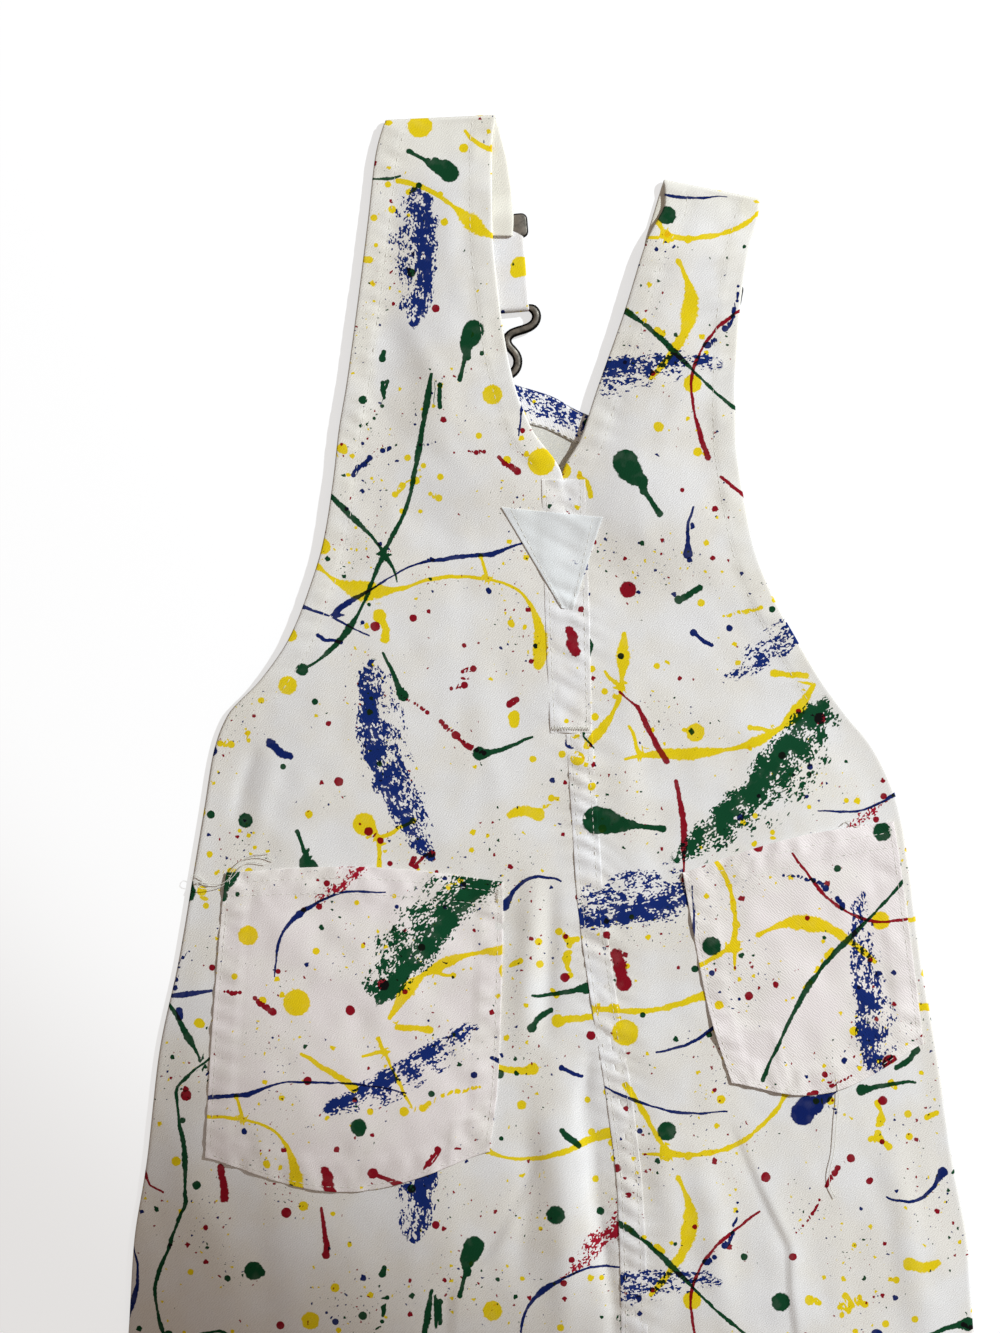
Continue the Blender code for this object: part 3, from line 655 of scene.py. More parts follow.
class SpatterPrint:
    """A layout of paint marks on one repeat of the printed cloth, in millimetres."""

    repeat = np.array([318.0, 356.0])
    nothing = -9.0
    clear = 6.0
    step = 3.0  # between the points of a path

    def __init__(self, seed: int) -> None:
        """Draws the layout up.

        Args:
            seed: fixes every random draw.
        """
        self.draw = np.random.default_rng(seed)
        self.between = self.draw.uniform
        self.runs: list[Run] = []
        self.blots: list[Blot] = []
        self.strokes: list[Stroke] = []
        self.taken: list[Array] = []
        for ink in (Ink.BLUE, Ink.RED, Ink.GREEN, Ink.YELLOW):
            self.add_marks(ink, HABITS[ink])

    def spot(self, tries: int = 14) -> Array:
        """A place in the repeat, well away from the other large marks.

        Args:
            tries: how many places are drawn, of which the roomiest is taken.

        Returns:
            The place.
        """
        best, best_room = np.zeros(2), -1.0
        for _ in range(tries):
            place = self.between(0.0, 1.0, 2) * self.repeat
            room = min((np.hypot(*self.wrapped(place - other)) for other in self.taken), default=FAR)
            if room > best_room:
                best, best_room = place, room
        self.taken.append(best)
        return best

    def wrapped(self, offset: Array) -> Array:
        """The shortest way between two places in the endless repeat."""
        return (offset + self.repeat / 2) % self.repeat - self.repeat / 2

    def add_spots(self, ink: Ink, *spots: Sequence[float]) -> None:
        """A drop or blob made of spots."""
        self.blots.append(Blot(ink, np.array(spots)))

    def wander(self, length: float, bend: float, kinks: float) -> Array:
        """A wandering path.

        Args:
            length: how long it is.
            bend: how much it curves.
            kinks: how often it turns sharply.

        Returns:
            Its points, a step apart, round the origin.
        """
        count = max(3, int(length / self.step))
        curve, heading = 0.0, self.between(0.0, 2 * math.pi)
        points = [np.zeros(2)]
        for _ in range(count):
            curve = 0.86 * curve + self.draw.normal(0.0, bend)
            heading += curve
            if self.draw.random() < kinks:
                heading += self.draw.choice([-1, 1]) * self.between(0.4, 0.9)
            points.append(points[-1] + self.step * np.array([math.cos(heading), math.sin(heading)]))
        path = np.array(points) + self.draw.normal(0.0, 4.0 * bend, (count + 1, 2))
        return path - path.mean(axis=0)

    def add_run(self, ink: Ink, habit: InkHabit) -> None:
        """A long trickle, with lumps, now and then a break, and often a drop at its end.

        Args:
            ink: its colour.
            habit: the sizes of this ink's marks.
        """
        path = self.wander(self.between(*habit.run_length), 0.032, 0.012) + self.spot()
        along = np.arange(len(path)) * self.step
        base = self.between(*habit.run_half_width)
        width = base * self.between(0.6, 1.3, len(path))
        for _ in range(self.draw.integers(2, 7)):
            middle = self.between(0.0, along[-1])
            lump = habit.lump * self.between(0.1, 1.0)
            width = width + lump * bump(along - middle, self.between(3.8, 9.0))
        width = width * (0.6 + 0.4 * smoothstep(np.minimum(along, along[-1] - along) / 14.0))
        cut = int(len(path) * self.between(0.3, 0.75))
        broken = slice(0, cut - 1), slice(cut + 1, None)
        for part in broken if self.draw.random() < 0.45 else (slice(None),):
            self.runs.append(Run(ink, path[part], width[part]))
        if self.draw.random() < 0.55:
            self.add_spots(ink, [*path[-1], self.between(1.5, 2.4) * base + 0.8])
        for _ in range(self.draw.integers(0, habit.branches + 1)):
            at = self.draw.integers(2, len(path) - 2)
            root = path[at]
            branch = self.wander(self.between(8.0, 20.0), 0.07, 0.0)
            branch = branch - branch[0] + root
            taper = base * np.linspace(1.2, 0.75, len(branch))
            if self.draw.random() < 0.5:
                self.add_drop(ink, branch[-1], 1.5 * base)
            ahead = path[min(len(path) - 1, at + 2)] - path[at - 1]
            if np.dot(branch[-1] - root, ahead) > 0:  # so that the sides that face each other agree
                branch, taper = branch[::-1], taper[::-1]
            self.runs.append(Run(ink, branch, taper))
            self.add_drop(ink, root, 1.7 * base)

    def add_drop(self, ink: Ink, place: Array, radius: float) -> None:
        """One drop, a little out of round."""
        lean = self.draw.normal(0.0, 0.22, 2) * radius
        self.add_spots(ink, [*place, radius], [*(place + lean), self.between(0.55, 0.85) * radius])

    def add_blob(self, ink: Ink) -> None:
        """A big daub that narrows to a tail.

        Args:
            ink: its colour.
        """
        place, heading = self.spot(), self.between(0.0, 2 * math.pi)
        way = np.array([math.cos(heading), math.sin(heading)])
        side = np.array([-way[1], way[0]])
        size = self.between(3.5, 5.7)
        spots = []
        for k, share in enumerate((1.0, 0.94, 0.72, 0.5, 0.34)):
            centre = place + size * (0.62 * k * way + self.draw.normal(0.0, 0.12) * side)
            spots.append([*centre, size * share])
        self.add_spots(ink, *spots)
        tail = place + np.outer((2.2, 3.0, 3.8, 4.6), way) * size
        self.runs.append(Run(ink, tail, np.array([0.3, 0.2, 0.19, 0.28]) * size))

    def add_tadpole(self, ink: Ink, base: float) -> None:
        """A drop with a tapering tail.

        Args:
            ink: its colour.
            base: half the width of its tail.
        """
        tail = self.wander(self.between(18.0, 40.0), 0.055, 0.01) + self.spot()
        head = self.between(1.6, 2.9)
        self.runs.append(Run(ink, tail, base * np.linspace(1.4, 0.6, len(tail))))
        self.add_spots(ink, [*tail[0], head], [*tail[1], head * 0.6])

    def add_bar(self, ink: Ink, habit: InkHabit) -> None:
        """A short thick dash.

        Args:
            ink: its colour.
            habit: the sizes of this ink's marks.
        """
        path = self.wander(self.between(6.0, 13.0), 0.08, 0.0) + self.spot(4)
        width = self.between(*habit.bar_half_width) * self.between(0.75, 1.2, len(path))
        self.runs.append(Run(ink, path, width))
        if self.draw.random() < 0.4:
            self.add_drop(ink, path[0], 1.5 * width[0])

    def add_chain(self, ink: Ink) -> None:
        """Drops in a row, that get smaller.

        Args:
            ink: its colour.
        """
        path = self.wander(self.between(18.0, 40.0), 0.06, 0.0) + self.spot(6)
        for share, place in zip(np.linspace(1.0, 0.35, len(path)), path):
            if self.draw.random() < 0.75:
                self.add_drop(ink, place, share * self.between(1.0, 1.9))

    def add_cluster(self, ink: Ink) -> None:
        """A spray of small drops round one place.

        Args:
            ink: its colour.
        """
        place = self.spot(6)
        for _ in range(self.draw.integers(7, 13)):
            self.add_drop(ink, place + self.draw.normal(0.0, 9.5, 2), self.between(0.8, 1.7))

    def add_marks(self, ink: Ink, habit: InkHabit) -> None:
        """All the marks of one ink.

        Args:
            ink: the colour.
            habit: how many marks it leaves, and their sizes.
        """
        for _ in range(habit.strokes):
            path = self.wander(self.between(50.0, 92.0), 0.014, 0.0) + self.spot(40)
            shape = self.between((8.2, 0.6, -0.1), (11.0, 1.7, 0.6))
            self.strokes.append(Stroke(ink, path, *shape))
        for _ in range(habit.blobs):
            self.add_blob(ink)
        for _ in range(habit.runs):
            self.add_run(ink, habit)
        for _ in range(habit.big_drops):
            self.add_drop(ink, self.spot(), self.between(*habit.big_radius))
        for _ in range(habit.tadpoles):
            self.add_tadpole(ink, habit.run_half_width[1])
        for _ in range(habit.bars):
            self.add_bar(ink, habit)
        for _ in range(habit.chains):
            self.add_chain(ink)
        for _ in range(habit.clusters):
            self.add_cluster(ink)
        for _ in range(habit.drops):
            place = self.between(0.0, 1.0, 2) * self.repeat
            self.add_drop(ink, place, self.between(*habit.drop_radius))

    def near(self, cloth: Array, mark: Array, margin: float) -> tuple[Array, Array, Array]:
        """The points of a piece that lie near a mark.

        Args:
            cloth: the piece's points on the cloth, one a row.
            mark: the mark's own points, one a row.
            margin: how far outside them counts.

        Returns:
            The points' numbers, then their places and the mark's points from the mark's middle.
        """
        middle = mark.mean(axis=0)
        offset = self.wrapped(cloth - middle)
        chosen = np.nonzero((np.abs(offset) < np.abs(mark - middle).max() + margin).all(axis=1))[0]
        return chosen, offset[chosen], mark - middle

    def fields(self, cloth: Array) -> dict[str, Array]:
        """What each point of a piece needs to know of the marks round it.

        Args:
            cloth: the points on the cloth, one a row.

        Returns:
            Attributes by name. An ink's drops has the place from the nearest drop's middle as a
            share of its radius, and the depth inside it. Its runs has the place across the
            nearest run and the length past its end, both as shares of its half width, with the
            distance outside it between them. stroke has the places along and across the nearest
            stroke, and how deep in it.
        """
        count = len(cloth)
        made = {ink.drops: np.tile([self.clear, self.clear, self.nothing], (count, 1)) for ink in Ink}
        made |= {ink.runs: np.tile([self.clear, self.clear, self.clear], (count, 1)) for ink in Ink}
        made["stroke"] = np.tile([0.0, 0.0, -1.0], (count, 1))
        made["stroke_ink"] = np.zeros(count)
        for blot in self.blots:
            radii = blot.spots[:, 2]
            chosen, places, spots = self.near(cloth, blot.spots[:, :2], radii.max() + self.clear)
            layer = made[blot.ink.drops]
            for spot, radius in zip(spots, radii):
                place = places - spot
                depth = radius - np.hypot(*place.T)
                deeper = depth > layer[chosen, 2]
                rows = chosen[deeper]
                layer[rows] = np.column_stack([place / radius, depth])[deeper]
        for run in self.runs:
            self.add_run_field(cloth, run, made[run.ink.runs])
        for stroke in self.strokes:
            self.add_stroke_field(cloth, stroke, made)
        return made

    def add_run_field(self, cloth: Array, run: Run, layer: Array) -> None:
        """Writes one run into its ink's layer.

        Args:
            cloth: a piece's points on the cloth, one a row.
            run: the run.
            layer: what the points know of this ink's runs.
        """
        chosen, places, path = self.near(cloth, run.path, run.half_width.max() + self.clear)
        signed, along, distance = path_distance(*places.T, path)
        spots = lengths_along(run.path)
        width = np.interp(along, spots, run.half_width)
        outside = distance - width
        past_start, past_end = (
            (places - end) @ ((end - before) / np.hypot(*(end - before)))
            for end, before in (path[:2], path[:-3:-1])
        )
        past = np.maximum(-along, along - spots[-1])
        past = np.where(along <= 0.0, past_start, np.where(along >= spots[-1], past_end, past))
        beside = np.sqrt(np.maximum(distance**2 - np.maximum(past, 0.0) ** 2, 0.0)) * np.sign(signed)
        closer = outside < layer[chosen, 1]
        rows = chosen[closer]
        values = np.column_stack([beside / width, outside, past / width])
        layer[rows] = np.clip(values, -self.clear, self.clear)[closer]

    def add_stroke_field(self, cloth: Array, stroke: Stroke, made: dict[str, Array]) -> None:
        """Writes one brush stroke into the stroke attributes.

        Args:
            cloth: a piece's points on the cloth, one a row.
            stroke: the stroke.
            made: all the attributes.
        """
        chosen, places, path = self.near(cloth, stroke.path, 2 * stroke.half_width)
        signed, along, distance = path_distance(*places.T, path)
        length = np.hypot(*np.diff(stroke.path, axis=0).T).sum()
        share = np.clip(along / length, 0.0, 1.0)
        half = stroke.half_width * (0.3 + 0.7 * np.sin(math.pi * share**stroke.lean) ** 0.45)
        across = np.where((along <= 0.0) | (along >= length), distance, signed) / half
        depth = np.minimum(2.4 * (1.0 - across), 0.66 * (1.0 + across)) - stroke.dryness * share
        deeper = depth > made["stroke"][chosen, 2]
        rows = chosen[deeper]
        made["stroke"][rows] = np.column_stack([along, signed, depth])[deeper]
        made["stroke_ink"][rows] = stroke.ink.value


PRINT = SpatterPrint(27)


def rgb(colour: Colour) -> tuple[float, float, float, float]:
    """A display colour of 0 to 255 as the linear colour that a shader takes."""
    linear = [(c / 255 / 12.92) if c <= 10 else ((c / 255 + 0.055) / 1.055) ** 2.4 for c in colour]
    return (*linear, 1.0)


class Nodes:
    """Adds nodes to one tree, in the order in which their values are used."""

    def __init__(self, tree: bpy.types.NodeTree) -> None:
        """Starts on a tree."""
        self.tree = tree

    def feed(self, node: Node, inputs: dict[str | int, object]) -> Node:
        """Gives a node's named or numbered inputs a socket or a constant each.

        Args:
            node: the node.
            inputs: a socket or a constant for each name or number.

        Returns:
            The node.
        """
        for key, value in inputs.items():
            if isinstance(value, Socket):
                self.tree.links.new(value, node.inputs[key])
            else:
                node.inputs[key].default_value = value
        return node

    def add(self, kind: str, inputs: dict[str | int, object], **settings: object) -> Node:
        """A new node.

        Args:
            kind: its type, without the word ShaderNode.
            inputs: its inputs, as in feed.
            settings: its own settings.

        Returns:
            The node.
        """
        node = self.tree.nodes.new("ShaderNode" + kind)
        for name, value in settings.items():
            setattr(node, name, value)
        return self.feed(node, inputs)

    def math(self, operation: str, *values: object, clamp: bool = False) -> Socket:
        """A sum on one, two or three values."""
        return self.add("Math", dict(enumerate(values)), operation=operation, use_clamp=clamp).outputs[0]

    def times(self, a: object, b: object, *plus: object, clamp: bool = False) -> Socket:
        """One value times another, with a third added where it is given."""
        return self.math("MULTIPLY_ADD" if plus else "MULTIPLY", a, b, *plus, clamp=clamp)

    def vector(self, operation: str, *values: object, result: str = "Vector") -> Socket:
        """A sum on vectors."""
        return self.add("VectorMath", dict(enumerate(values)), operation=operation).outputs[result]

    def mix(self, share: object, a: object, b: object, blend: str = "MIX") -> Socket:
        """Two colours blended by a share."""
        return self.add("Mix", {0: share, 6: a, 7: b}, data_type="RGBA", blend_type=blend).outputs[2]

    def shaded(self, colour: object, shade: Socket) -> Socket:
        """A colour made darker by a grey."""
        grey = self.add("CombineColor", {0: shade, 1: shade, 2: shade}).outputs[0]
        return self.mix(1.0, colour, grey, "MULTIPLY")

    def noise(self, place: object, scale: float, detail: float = 0.0, output: str = "Fac") -> Socket:
        """Soft noise over a plane."""
        inputs = {"Vector": place, "Scale": scale, "Detail": detail}
        return self.add("TexNoise", inputs, noise_dimensions="2D").outputs[output]

    def cells(self, place: object, scale: object) -> Node:
        """Cells over a plane, each with a colour of its own."""
        inputs = {"Vector": place, "Scale": scale}
        return self.add("TexVoronoi", inputs, voronoi_dimensions="2D", feature="F1")

    def parts(self, vector: object) -> Sequence[Socket]:
        """The three parts of a vector."""
        return self.add("SeparateXYZ", {0: vector}).outputs

    def soft_edge(self, value: object, softness: float, start: object = None) -> Socket:
        """0 up to the start, or up to 0, rising to 1 over the softness."""
        past = value if start is None else self.math("SUBTRACT", value, start)
        return self.math("DIVIDE", past, softness, clamp=True)

    def bump(self, height: Socket, strength: float, distance: float) -> Socket:
        """The normal of a surface with a height."""
        return self.add("Bump", {"Strength": strength, "Distance": distance, "Height": height}).outputs[0]

    def attribute(self, name: str, output: str = "Fac") -> Socket:
        """A value that the piece's own points carry."""
        return self.add("Attribute", {}, attribute_name=name).outputs[output]


@dataclass(frozen=True)
class Effect:
    """A shared effect: a node group that gives colours, masks or heights.

    fill adds the group's nodes after its input node, and returns what the group gives.
    """

    name: str
    takes: tuple[tuple[str, str], ...]
    gives: tuple[str, ...]
    fill: Callable[[Nodes, dict[str, Socket]], Sequence[Socket]]

    def group(self) -> bpy.types.NodeTree:
        """The node group, made when first asked for.

        Returns:
            The group.
        """
        made = bpy.data.node_groups.get(self.name)
        if made is None:
            made = bpy.data.node_groups.new(self.name, "ShaderNodeTree")
            for name, kind in self.takes:
                made.interface.new_socket(name, in_out="INPUT", socket_type="NodeSocket" + kind)
            for name in self.gives:
                made.interface.new_socket(name, in_out="OUTPUT", socket_type="NodeSocketFloat")
            source, result = (made.nodes.new("NodeGroup" + end) for end in ("Input", "Output"))
            given = self.fill(Nodes(made), source.outputs)
            Nodes(made).feed(result, dict(zip(self.gives, given)))
        return made

    def use(self, nodes: Nodes, inputs: dict[str, object]) -> Sequence[Socket]:
        """What the effect gives in another tree, from its inputs there."""
        return nodes.add("Group", inputs, node_tree=self.group()).outputs


def fill_weave(nodes: Nodes, source: dict[str, Socket]) -> Sequence[Socket]:
    """The height of diagonal ribs of twill, broken up by uneven yarns.

    Args:
        nodes: where the nodes are added.
        source: the effect's inputs.

    Returns:
        The height.
    """
    place = source["Place"]
    sway = nodes.times(nodes.noise(place, 0.55, 1.0), 9.0)
    rib_line = nodes.vector("DOT_PRODUCT", place, (5.4, -4.9, 0.0), result="Value")
    rib = nodes.math("SINE", nodes.math("ADD", rib_line, sway))
    pick_line = nodes.vector("DOT_PRODUCT", place, (4.2, 9.6, 0.0), result="Value")
    pick = nodes.math("SINE", nodes.math("ADD", pick_line, sway))
    height = nodes.times(nodes.times(pick, 0.35, rib), 0.37, 0.5)
    grain = nodes.noise(place, 2.1, 1.0)
    return [nodes.math("ADD", height, nodes.times(grain, 0.7, -0.35))]


def fill_ink(nodes: Nodes, source: dict[str, Socket]) -> Sequence[Socket]:
    """The mask of one ink's drops and runs, with a slightly ragged edge.

    Args:
        nodes: where the nodes are added.
        source: the effect's inputs.

    Returns:
        The mask.
    """
    wobble = nodes.math("SUBTRACT", source["Wobble"], 0.5)
    depth = nodes.parts(source["Drops"])[2]
    flat = nodes.vector("MULTIPLY", source["Drops"], (1.0, 1.0, 0.0))
    away = nodes.vector("LENGTH", flat, result="Value")
    rounded = nodes.times(wobble, 0.26, nodes.math("SUBTRACT", 1.0, away))
    near = nodes.soft_edge(nodes.math("ADD", depth, 1.3), 0.3)
    drop = nodes.times(nodes.soft_edge(rounded, 0.1), near)
    broad = nodes.soft_edge(nodes.times(wobble, 0.5, nodes.math("SUBTRACT", depth, 0.12)), 0.2)
    drop = nodes.math("MAXIMUM", drop, broad)
    aside, outside, past = nodes.parts(source["Runs"])
    past = nodes.math("MAXIMUM", past, 0.0)
    away = nodes.vector("LENGTH", nodes.add("CombineXYZ", {0: aside, 1: past}).outputs[0], result="Value")
    across = nodes.times(wobble, 0.6, nodes.math("SUBTRACT", 1.0, away))
    close = nodes.soft_edge(1.5, 0.4, outside)
    run = nodes.times(nodes.soft_edge(across, 0.18), close)
    return [nodes.math("MAXIMUM", drop, run)]


def fill_stroke(nodes: Nodes, source: dict[str, Socket]) -> Sequence[Socket]:
    """The mask of dry brush strokes: angular flecks, dense in the core of each stroke.

    Args:
        nodes: where the nodes are added.
        source: the effect's inputs.

    Returns:
        The mask.
    """
    along, across, depth = nodes.parts(source["Stroke"])
    place = nodes.add("CombineXYZ", {0: nodes.times(along, 0.8), 1: across}).outputs[0]
    pick = nodes.add("SeparateColor", {0: nodes.cells(place, 1.55).outputs["Color"]}).outputs[0]
    streak_place = nodes.vector("MULTIPLY", place, (0.15, 1.0, 1.0))
    streak = nodes.noise(streak_place, 0.7, 1.0)
    patch = nodes.noise(source["Place"], 0.16, 2.0)
    cover = nodes.times(streak, 1.1, nodes.times(patch, 2.4, -1.68))
    cover = nodes.times(depth, 1.35, cover)
    fleck = nodes.soft_edge(cover, 0.08, nodes.times(pick, 1.15))
    return [nodes.times(fleck, nodes.soft_edge(nodes.math("ADD", depth, 0.16), 0.05))]


def fill_fine_drops(nodes: Nodes, source: dict[str, Socket]) -> Sequence[Socket]:
    """The mask of one size of small drops, in loose clusters, and a number that picks their ink.

    Args:
        nodes: where the nodes are added.
        source: the effect's inputs.

    Returns:
        The mask and the number.
    """
    place = source["Place"]
    bent = nodes.vector("MULTIPLY_ADD", nodes.noise(place, 0.8, output="Color"), (0.9, 0.9, 0.0), place)
    cells = nodes.cells(bent, source["Scale"]).outputs
    distance = nodes.math("DIVIDE", cells["Distance"], source["Scale"])
    pick, large, chance = nodes.add("SeparateColor", {0: cells["Color"]}).outputs
    size = nodes.times(nodes.math("POWER", large, 2.5), 0.75, 0.25)
    size = nodes.times(size, source["Radius"])
    inside = nodes.soft_edge(size, 0.14, distance)
    cluster = nodes.noise(place, 0.035, 1.0)
    share = nodes.math("ADD", nodes.times(cluster, 3.6, -1.8), source["Share"])
    return [nodes.times(inside, nodes.math("LESS_THAN", chance, share)), pick]


PLACE = ("Place", "Vector")
WEAVE = Effect("Twill weave", (PLACE,), ("Height",), fill_weave)
INK_MASK = Effect(
    "Ink drops and runs", (("Drops", "Vector"), ("Runs", "Vector"), ("Wobble", "Float")), ("Mask",), fill_ink
)
STROKE_MASK = Effect("Dry brush strokes", (("Stroke", "Vector"), PLACE), ("Mask",), fill_stroke)
FINE_DROPS = Effect(
    "Fine drops", (PLACE, ("Scale", "Float"), ("Radius", "Float"), ("Share", "Float")), ("Mask", "Pick"),
    fill_fine_drops,
)


@dataclass(frozen=True)
class Inks:
    """The colours of the print."""

    yellow: Colour = (252, 226, 22)
    red: Colour = (150, 6, 32)
    green: Colour = (2, 70, 38)
    blue: Colour = (4, 32, 108)

    def of(self, ink: Ink) -> tuple[float, ...]:
        """One ink's colour for a shader."""
        return rgb((self.yellow, self.red, self.green, self.blue)[ink.value])

    def ramp(self, nodes: Nodes, pick: object, shares: Sequence[float]) -> Socket:
        """A colour picked by a number, where each ink takes its share of 0 to 1.

        Args:
            nodes: where the nodes are added.
            pick: the number.
            shares: one for each ink.

        Returns:
            The colour.
        """
        node = nodes.add("ValToRGB", {0: pick})
        node.color_ramp.interpolation = "CONSTANT"
        for _ in range(len(shares) - 2):
            node.color_ramp.elements.new(0.5)
        start = 0.0
        for element, ink, share in zip(node.color_ramp.elements, Ink, shares):
            element.position, element.color = start, self.of(ink)
            start += share
        return node.outputs[0]


INKS = Inks()
BRUSHED_INKS = Inks(red=(172, 18, 46), green=(4, 76, 44), blue=(14, 44, 124))


@dataclass(frozen=True)
class Finish:
    """A finish, with a material of its own."""

    name: str

    def build(self) -> bpy.types.Material:
        """The material, made when first asked for.

        Returns:
            The material.
        """
        made = bpy.data.materials.get(self.name)
        if made is None:
            made = bpy.data.materials.new(self.name)
            made.use_nodes = True
            nodes = Nodes(made.node_tree)
            nodes.feed(made.node_tree.nodes["Principled BSDF"], self.inputs(nodes))
        return made

    def inputs(self, nodes: Nodes) -> dict[str, object]:
        """The shader's inputs, after adding the nodes that they need."""
        raise NotImplementedError


@dataclass(frozen=True)
class TwillFinish(Finish):
    """Cotton twill: its colour, how much of the print shows, and how rough its weave stands."""

    cloth: Colour
    tint: Colour
    ink: float = 1.0
    weave: float = 0.55

    def printed(self, nodes: Nodes, place: Socket, colour: object) -> Socket:
        """The cloth's colour with the print on it.

        Args:
            nodes: where the nodes are added.
            place: the place on the cloth.
            colour: the bare cloth's colour.

        Returns:
            The colour.
        """
        ragged = nodes.noise(place, 0.75, 1.5)
        shade = nodes.noise(place, 0.16, 2.0)
        shown = nodes.times(nodes.attribute("inked"), self.ink)
        strength = nodes.times(nodes.times(shade, 0.14, 0.93, clamp=True), shown)

        def print_on(mask: Socket, inked: object) -> Socket:
            """The colour with one more layer of ink."""
            return nodes.mix(nodes.times(mask, strength), colour, inked, "MULTIPLY")

        for ink in Ink:
            drops, runs = nodes.attribute(ink.drops, "Vector"), nodes.attribute(ink.runs, "Vector")
            mask = INK_MASK.use(nodes, {"Drops": drops, "Runs": runs, "Wobble": ragged})[0]
            colour = print_on(mask, INKS.of(ink))
        mask = STROKE_MASK.use(nodes, {"Stroke": nodes.attribute("stroke", "Vector"), "Place": place})[0]
        pick = nodes.times(nodes.attribute("stroke_ink"), 0.25, 0.1)
        colour = print_on(mask, BRUSHED_INKS.ramp(nodes, pick, (0.25, 0.25, 0.25, 0.25)))
        for scale, radius, share, shares in (
            (0.15, 1.3, 0.3, (0.5, 0.26, 0.1, 0.14)),
            (0.3, 0.6, 0.06, (0.3, 0.26, 0.2, 0.24)),
            (0.42, 0.36, -0.05, (0, 0.2, 0.35, 0.45)),
        ):
            inputs = {"Place": place, "Scale": scale, "Radius": radius, "Share": share}
            mask, pick = FINE_DROPS.use(nodes, inputs)
            colour = print_on(mask, INKS.ramp(nodes, pick, shares))
        return colour

    def inputs(self, nodes: Nodes) -> dict[str, object]:
        """Cloth with soil and age, the print, and the weave, with painted shade in the weave's hollows.

        Args:
            nodes: where the nodes are added.

        Returns:
            The shader's inputs.
        """
        place = nodes.add("UVMap", {}, uv_map="cloth").outputs[0]
        soil = nodes.noise(place, 0.035, 3.0)
        soiled = nodes.soft_edge(soil, 0.2, 0.4)
        colour = nodes.mix(soiled, rgb(self.cloth), rgb(self.tint))
        aged = nodes.times(soil, 0.9, nodes.attribute("ivory"))
        aged = nodes.soft_edge(aged, 1.1, 0.45)
        colour = nodes.mix(aged, colour, rgb(IVORY))
        if self.ink > 0.0:
            colour = self.printed(nodes, place, colour)
        height = WEAVE.use(nodes, {"Place": place})[0]
        return {
            # painted shade: the colour is darker in the hollows of the twill's ribs, and also varies with
            # the uneven yarns
            "Base Color": nodes.shaded(colour, nodes.times(height, 0.16, 0.9, clamp=True)),
            "Normal": nodes.bump(height, self.weave, 0.00012),
            "Roughness": nodes.times(soil, 0.1, 0.82),
            "Sheen Weight": 0.05,
            "Sheen Roughness": 0.5,
            "Specular IOR Level": 0.15,
        }


@dataclass(frozen=True)
class MetalFinish(Finish):
    """Antique metal with a dark, uneven patina."""

    bright: Colour
    dark: Colour

    def inputs(self, nodes: Nodes) -> dict[str, object]:
        """Patches of dark patina, with painted shade on the sides and a painted highlight where it lies
        flat.

        Args:
            nodes: where the nodes are added.

        Returns:
            The shader's inputs.
        """
        place = nodes.add("TexCoord", {}).outputs["Object"]
        patina = nodes.add("TexNoise", {"Vector": place, "Scale": 420.0, "Detail": 4.0}).outputs[0]
        share = nodes.soft_edge(patina, 0.22, 0.4)
        # painted light: the metal is bright where it faces up and dark where it turns to the side, a painted
        # highlight and painted shade
        facing = nodes.math("ABSOLUTE", nodes.parts(nodes.add("NewGeometry", {}).outputs["Normal"])[2])
        wear_and_painted_light = nodes.soft_edge(facing, 0.08, 0.9)
        share = nodes.times(nodes.times(share, 0.6, 0.4), wear_and_painted_light)
        pits = nodes.add("TexNoise", {"Vector": place, "Scale": 1900.0, "Detail": 2.0}).outputs[0]
        return {
            "Base Color": nodes.mix(share, rgb(self.dark), rgb(self.bright)),
            "Roughness": nodes.times(share, -0.2, 0.6),
            "Normal": nodes.bump(pits, 0.35, 0.00008),
            "Metallic": 1.0,
        }


@dataclass(frozen=True)
class ThreadFinish(Finish):
    """Spun sewing thread, with its twist."""

    colour: Colour

    def inputs(self, nodes: Nodes) -> dict[str, object]:
        """Thread with painted shade and a bump for each turn of its twist.

        Args:
            nodes: where the nodes are added.

        Returns:
            The shader's inputs.
        """
        place = nodes.add("TexCoord", {}).outputs["Object"]
        wave = {"Vector": place, "Scale": 900.0, "Distortion": 2.0}
        twist = nodes.add("TexWave", wave, bands_direction="DIAGONAL").outputs["Fac"]
        return {
            # painted shade: the thread is darker in the grooves of its twist
            "Base Color": nodes.shaded(rgb(self.colour), nodes.times(twist, 0.14, 0.88)),
            "Normal": nodes.bump(twist, 0.4, 0.00005),
            "Roughness": 0.7,
            "Sheen Weight": 0.2,
        }


@dataclass(frozen=True)
class FloorFinish(Finish):
    """A plain floor that stays pale to the camera, and keeps the soft shadow."""

    colour: Colour
    glow: float

    def inputs(self, nodes: Nodes) -> dict[str, object]:
        """A matt floor that glows for the camera's own rays only.

        Args:
            nodes: where the nodes are added.

        Returns:
            The shader's inputs.
        """
        seen = nodes.add("LightPath", {}).outputs["Is Camera Ray"]
        return {
            "Base Color": rgb(self.colour),
            "Roughness": 0.9,
            "Specular IOR Level": 0.0,
            "Emission Strength": self.glow,
            "Emission Color": nodes.mix(seen, (0.0, 0.0, 0.0, 1.0), (1.0, 1.0, 1.0, 1.0)),
        }


IVORY = (241, 237, 226)
RIGHT_SIDE = TwillFinish("Printed twill", (242, 241, 243), (240, 236, 233))
WRONG_SIDE = TwillFinish("Twill wrong side", (226, 223, 217), (217, 214, 208), ink=0.07)
POCKET_CLOTH = TwillFinish("Pocket twill", (247, 239, 239), (246, 240, 237))
PATCH_CLOTH = TwillFinish("Patch cloth", (241, 243, 245), (234, 237, 240), ink=0.0, weave=0.5)
THREAD = ThreadFinish("White thread", (234, 232, 224))
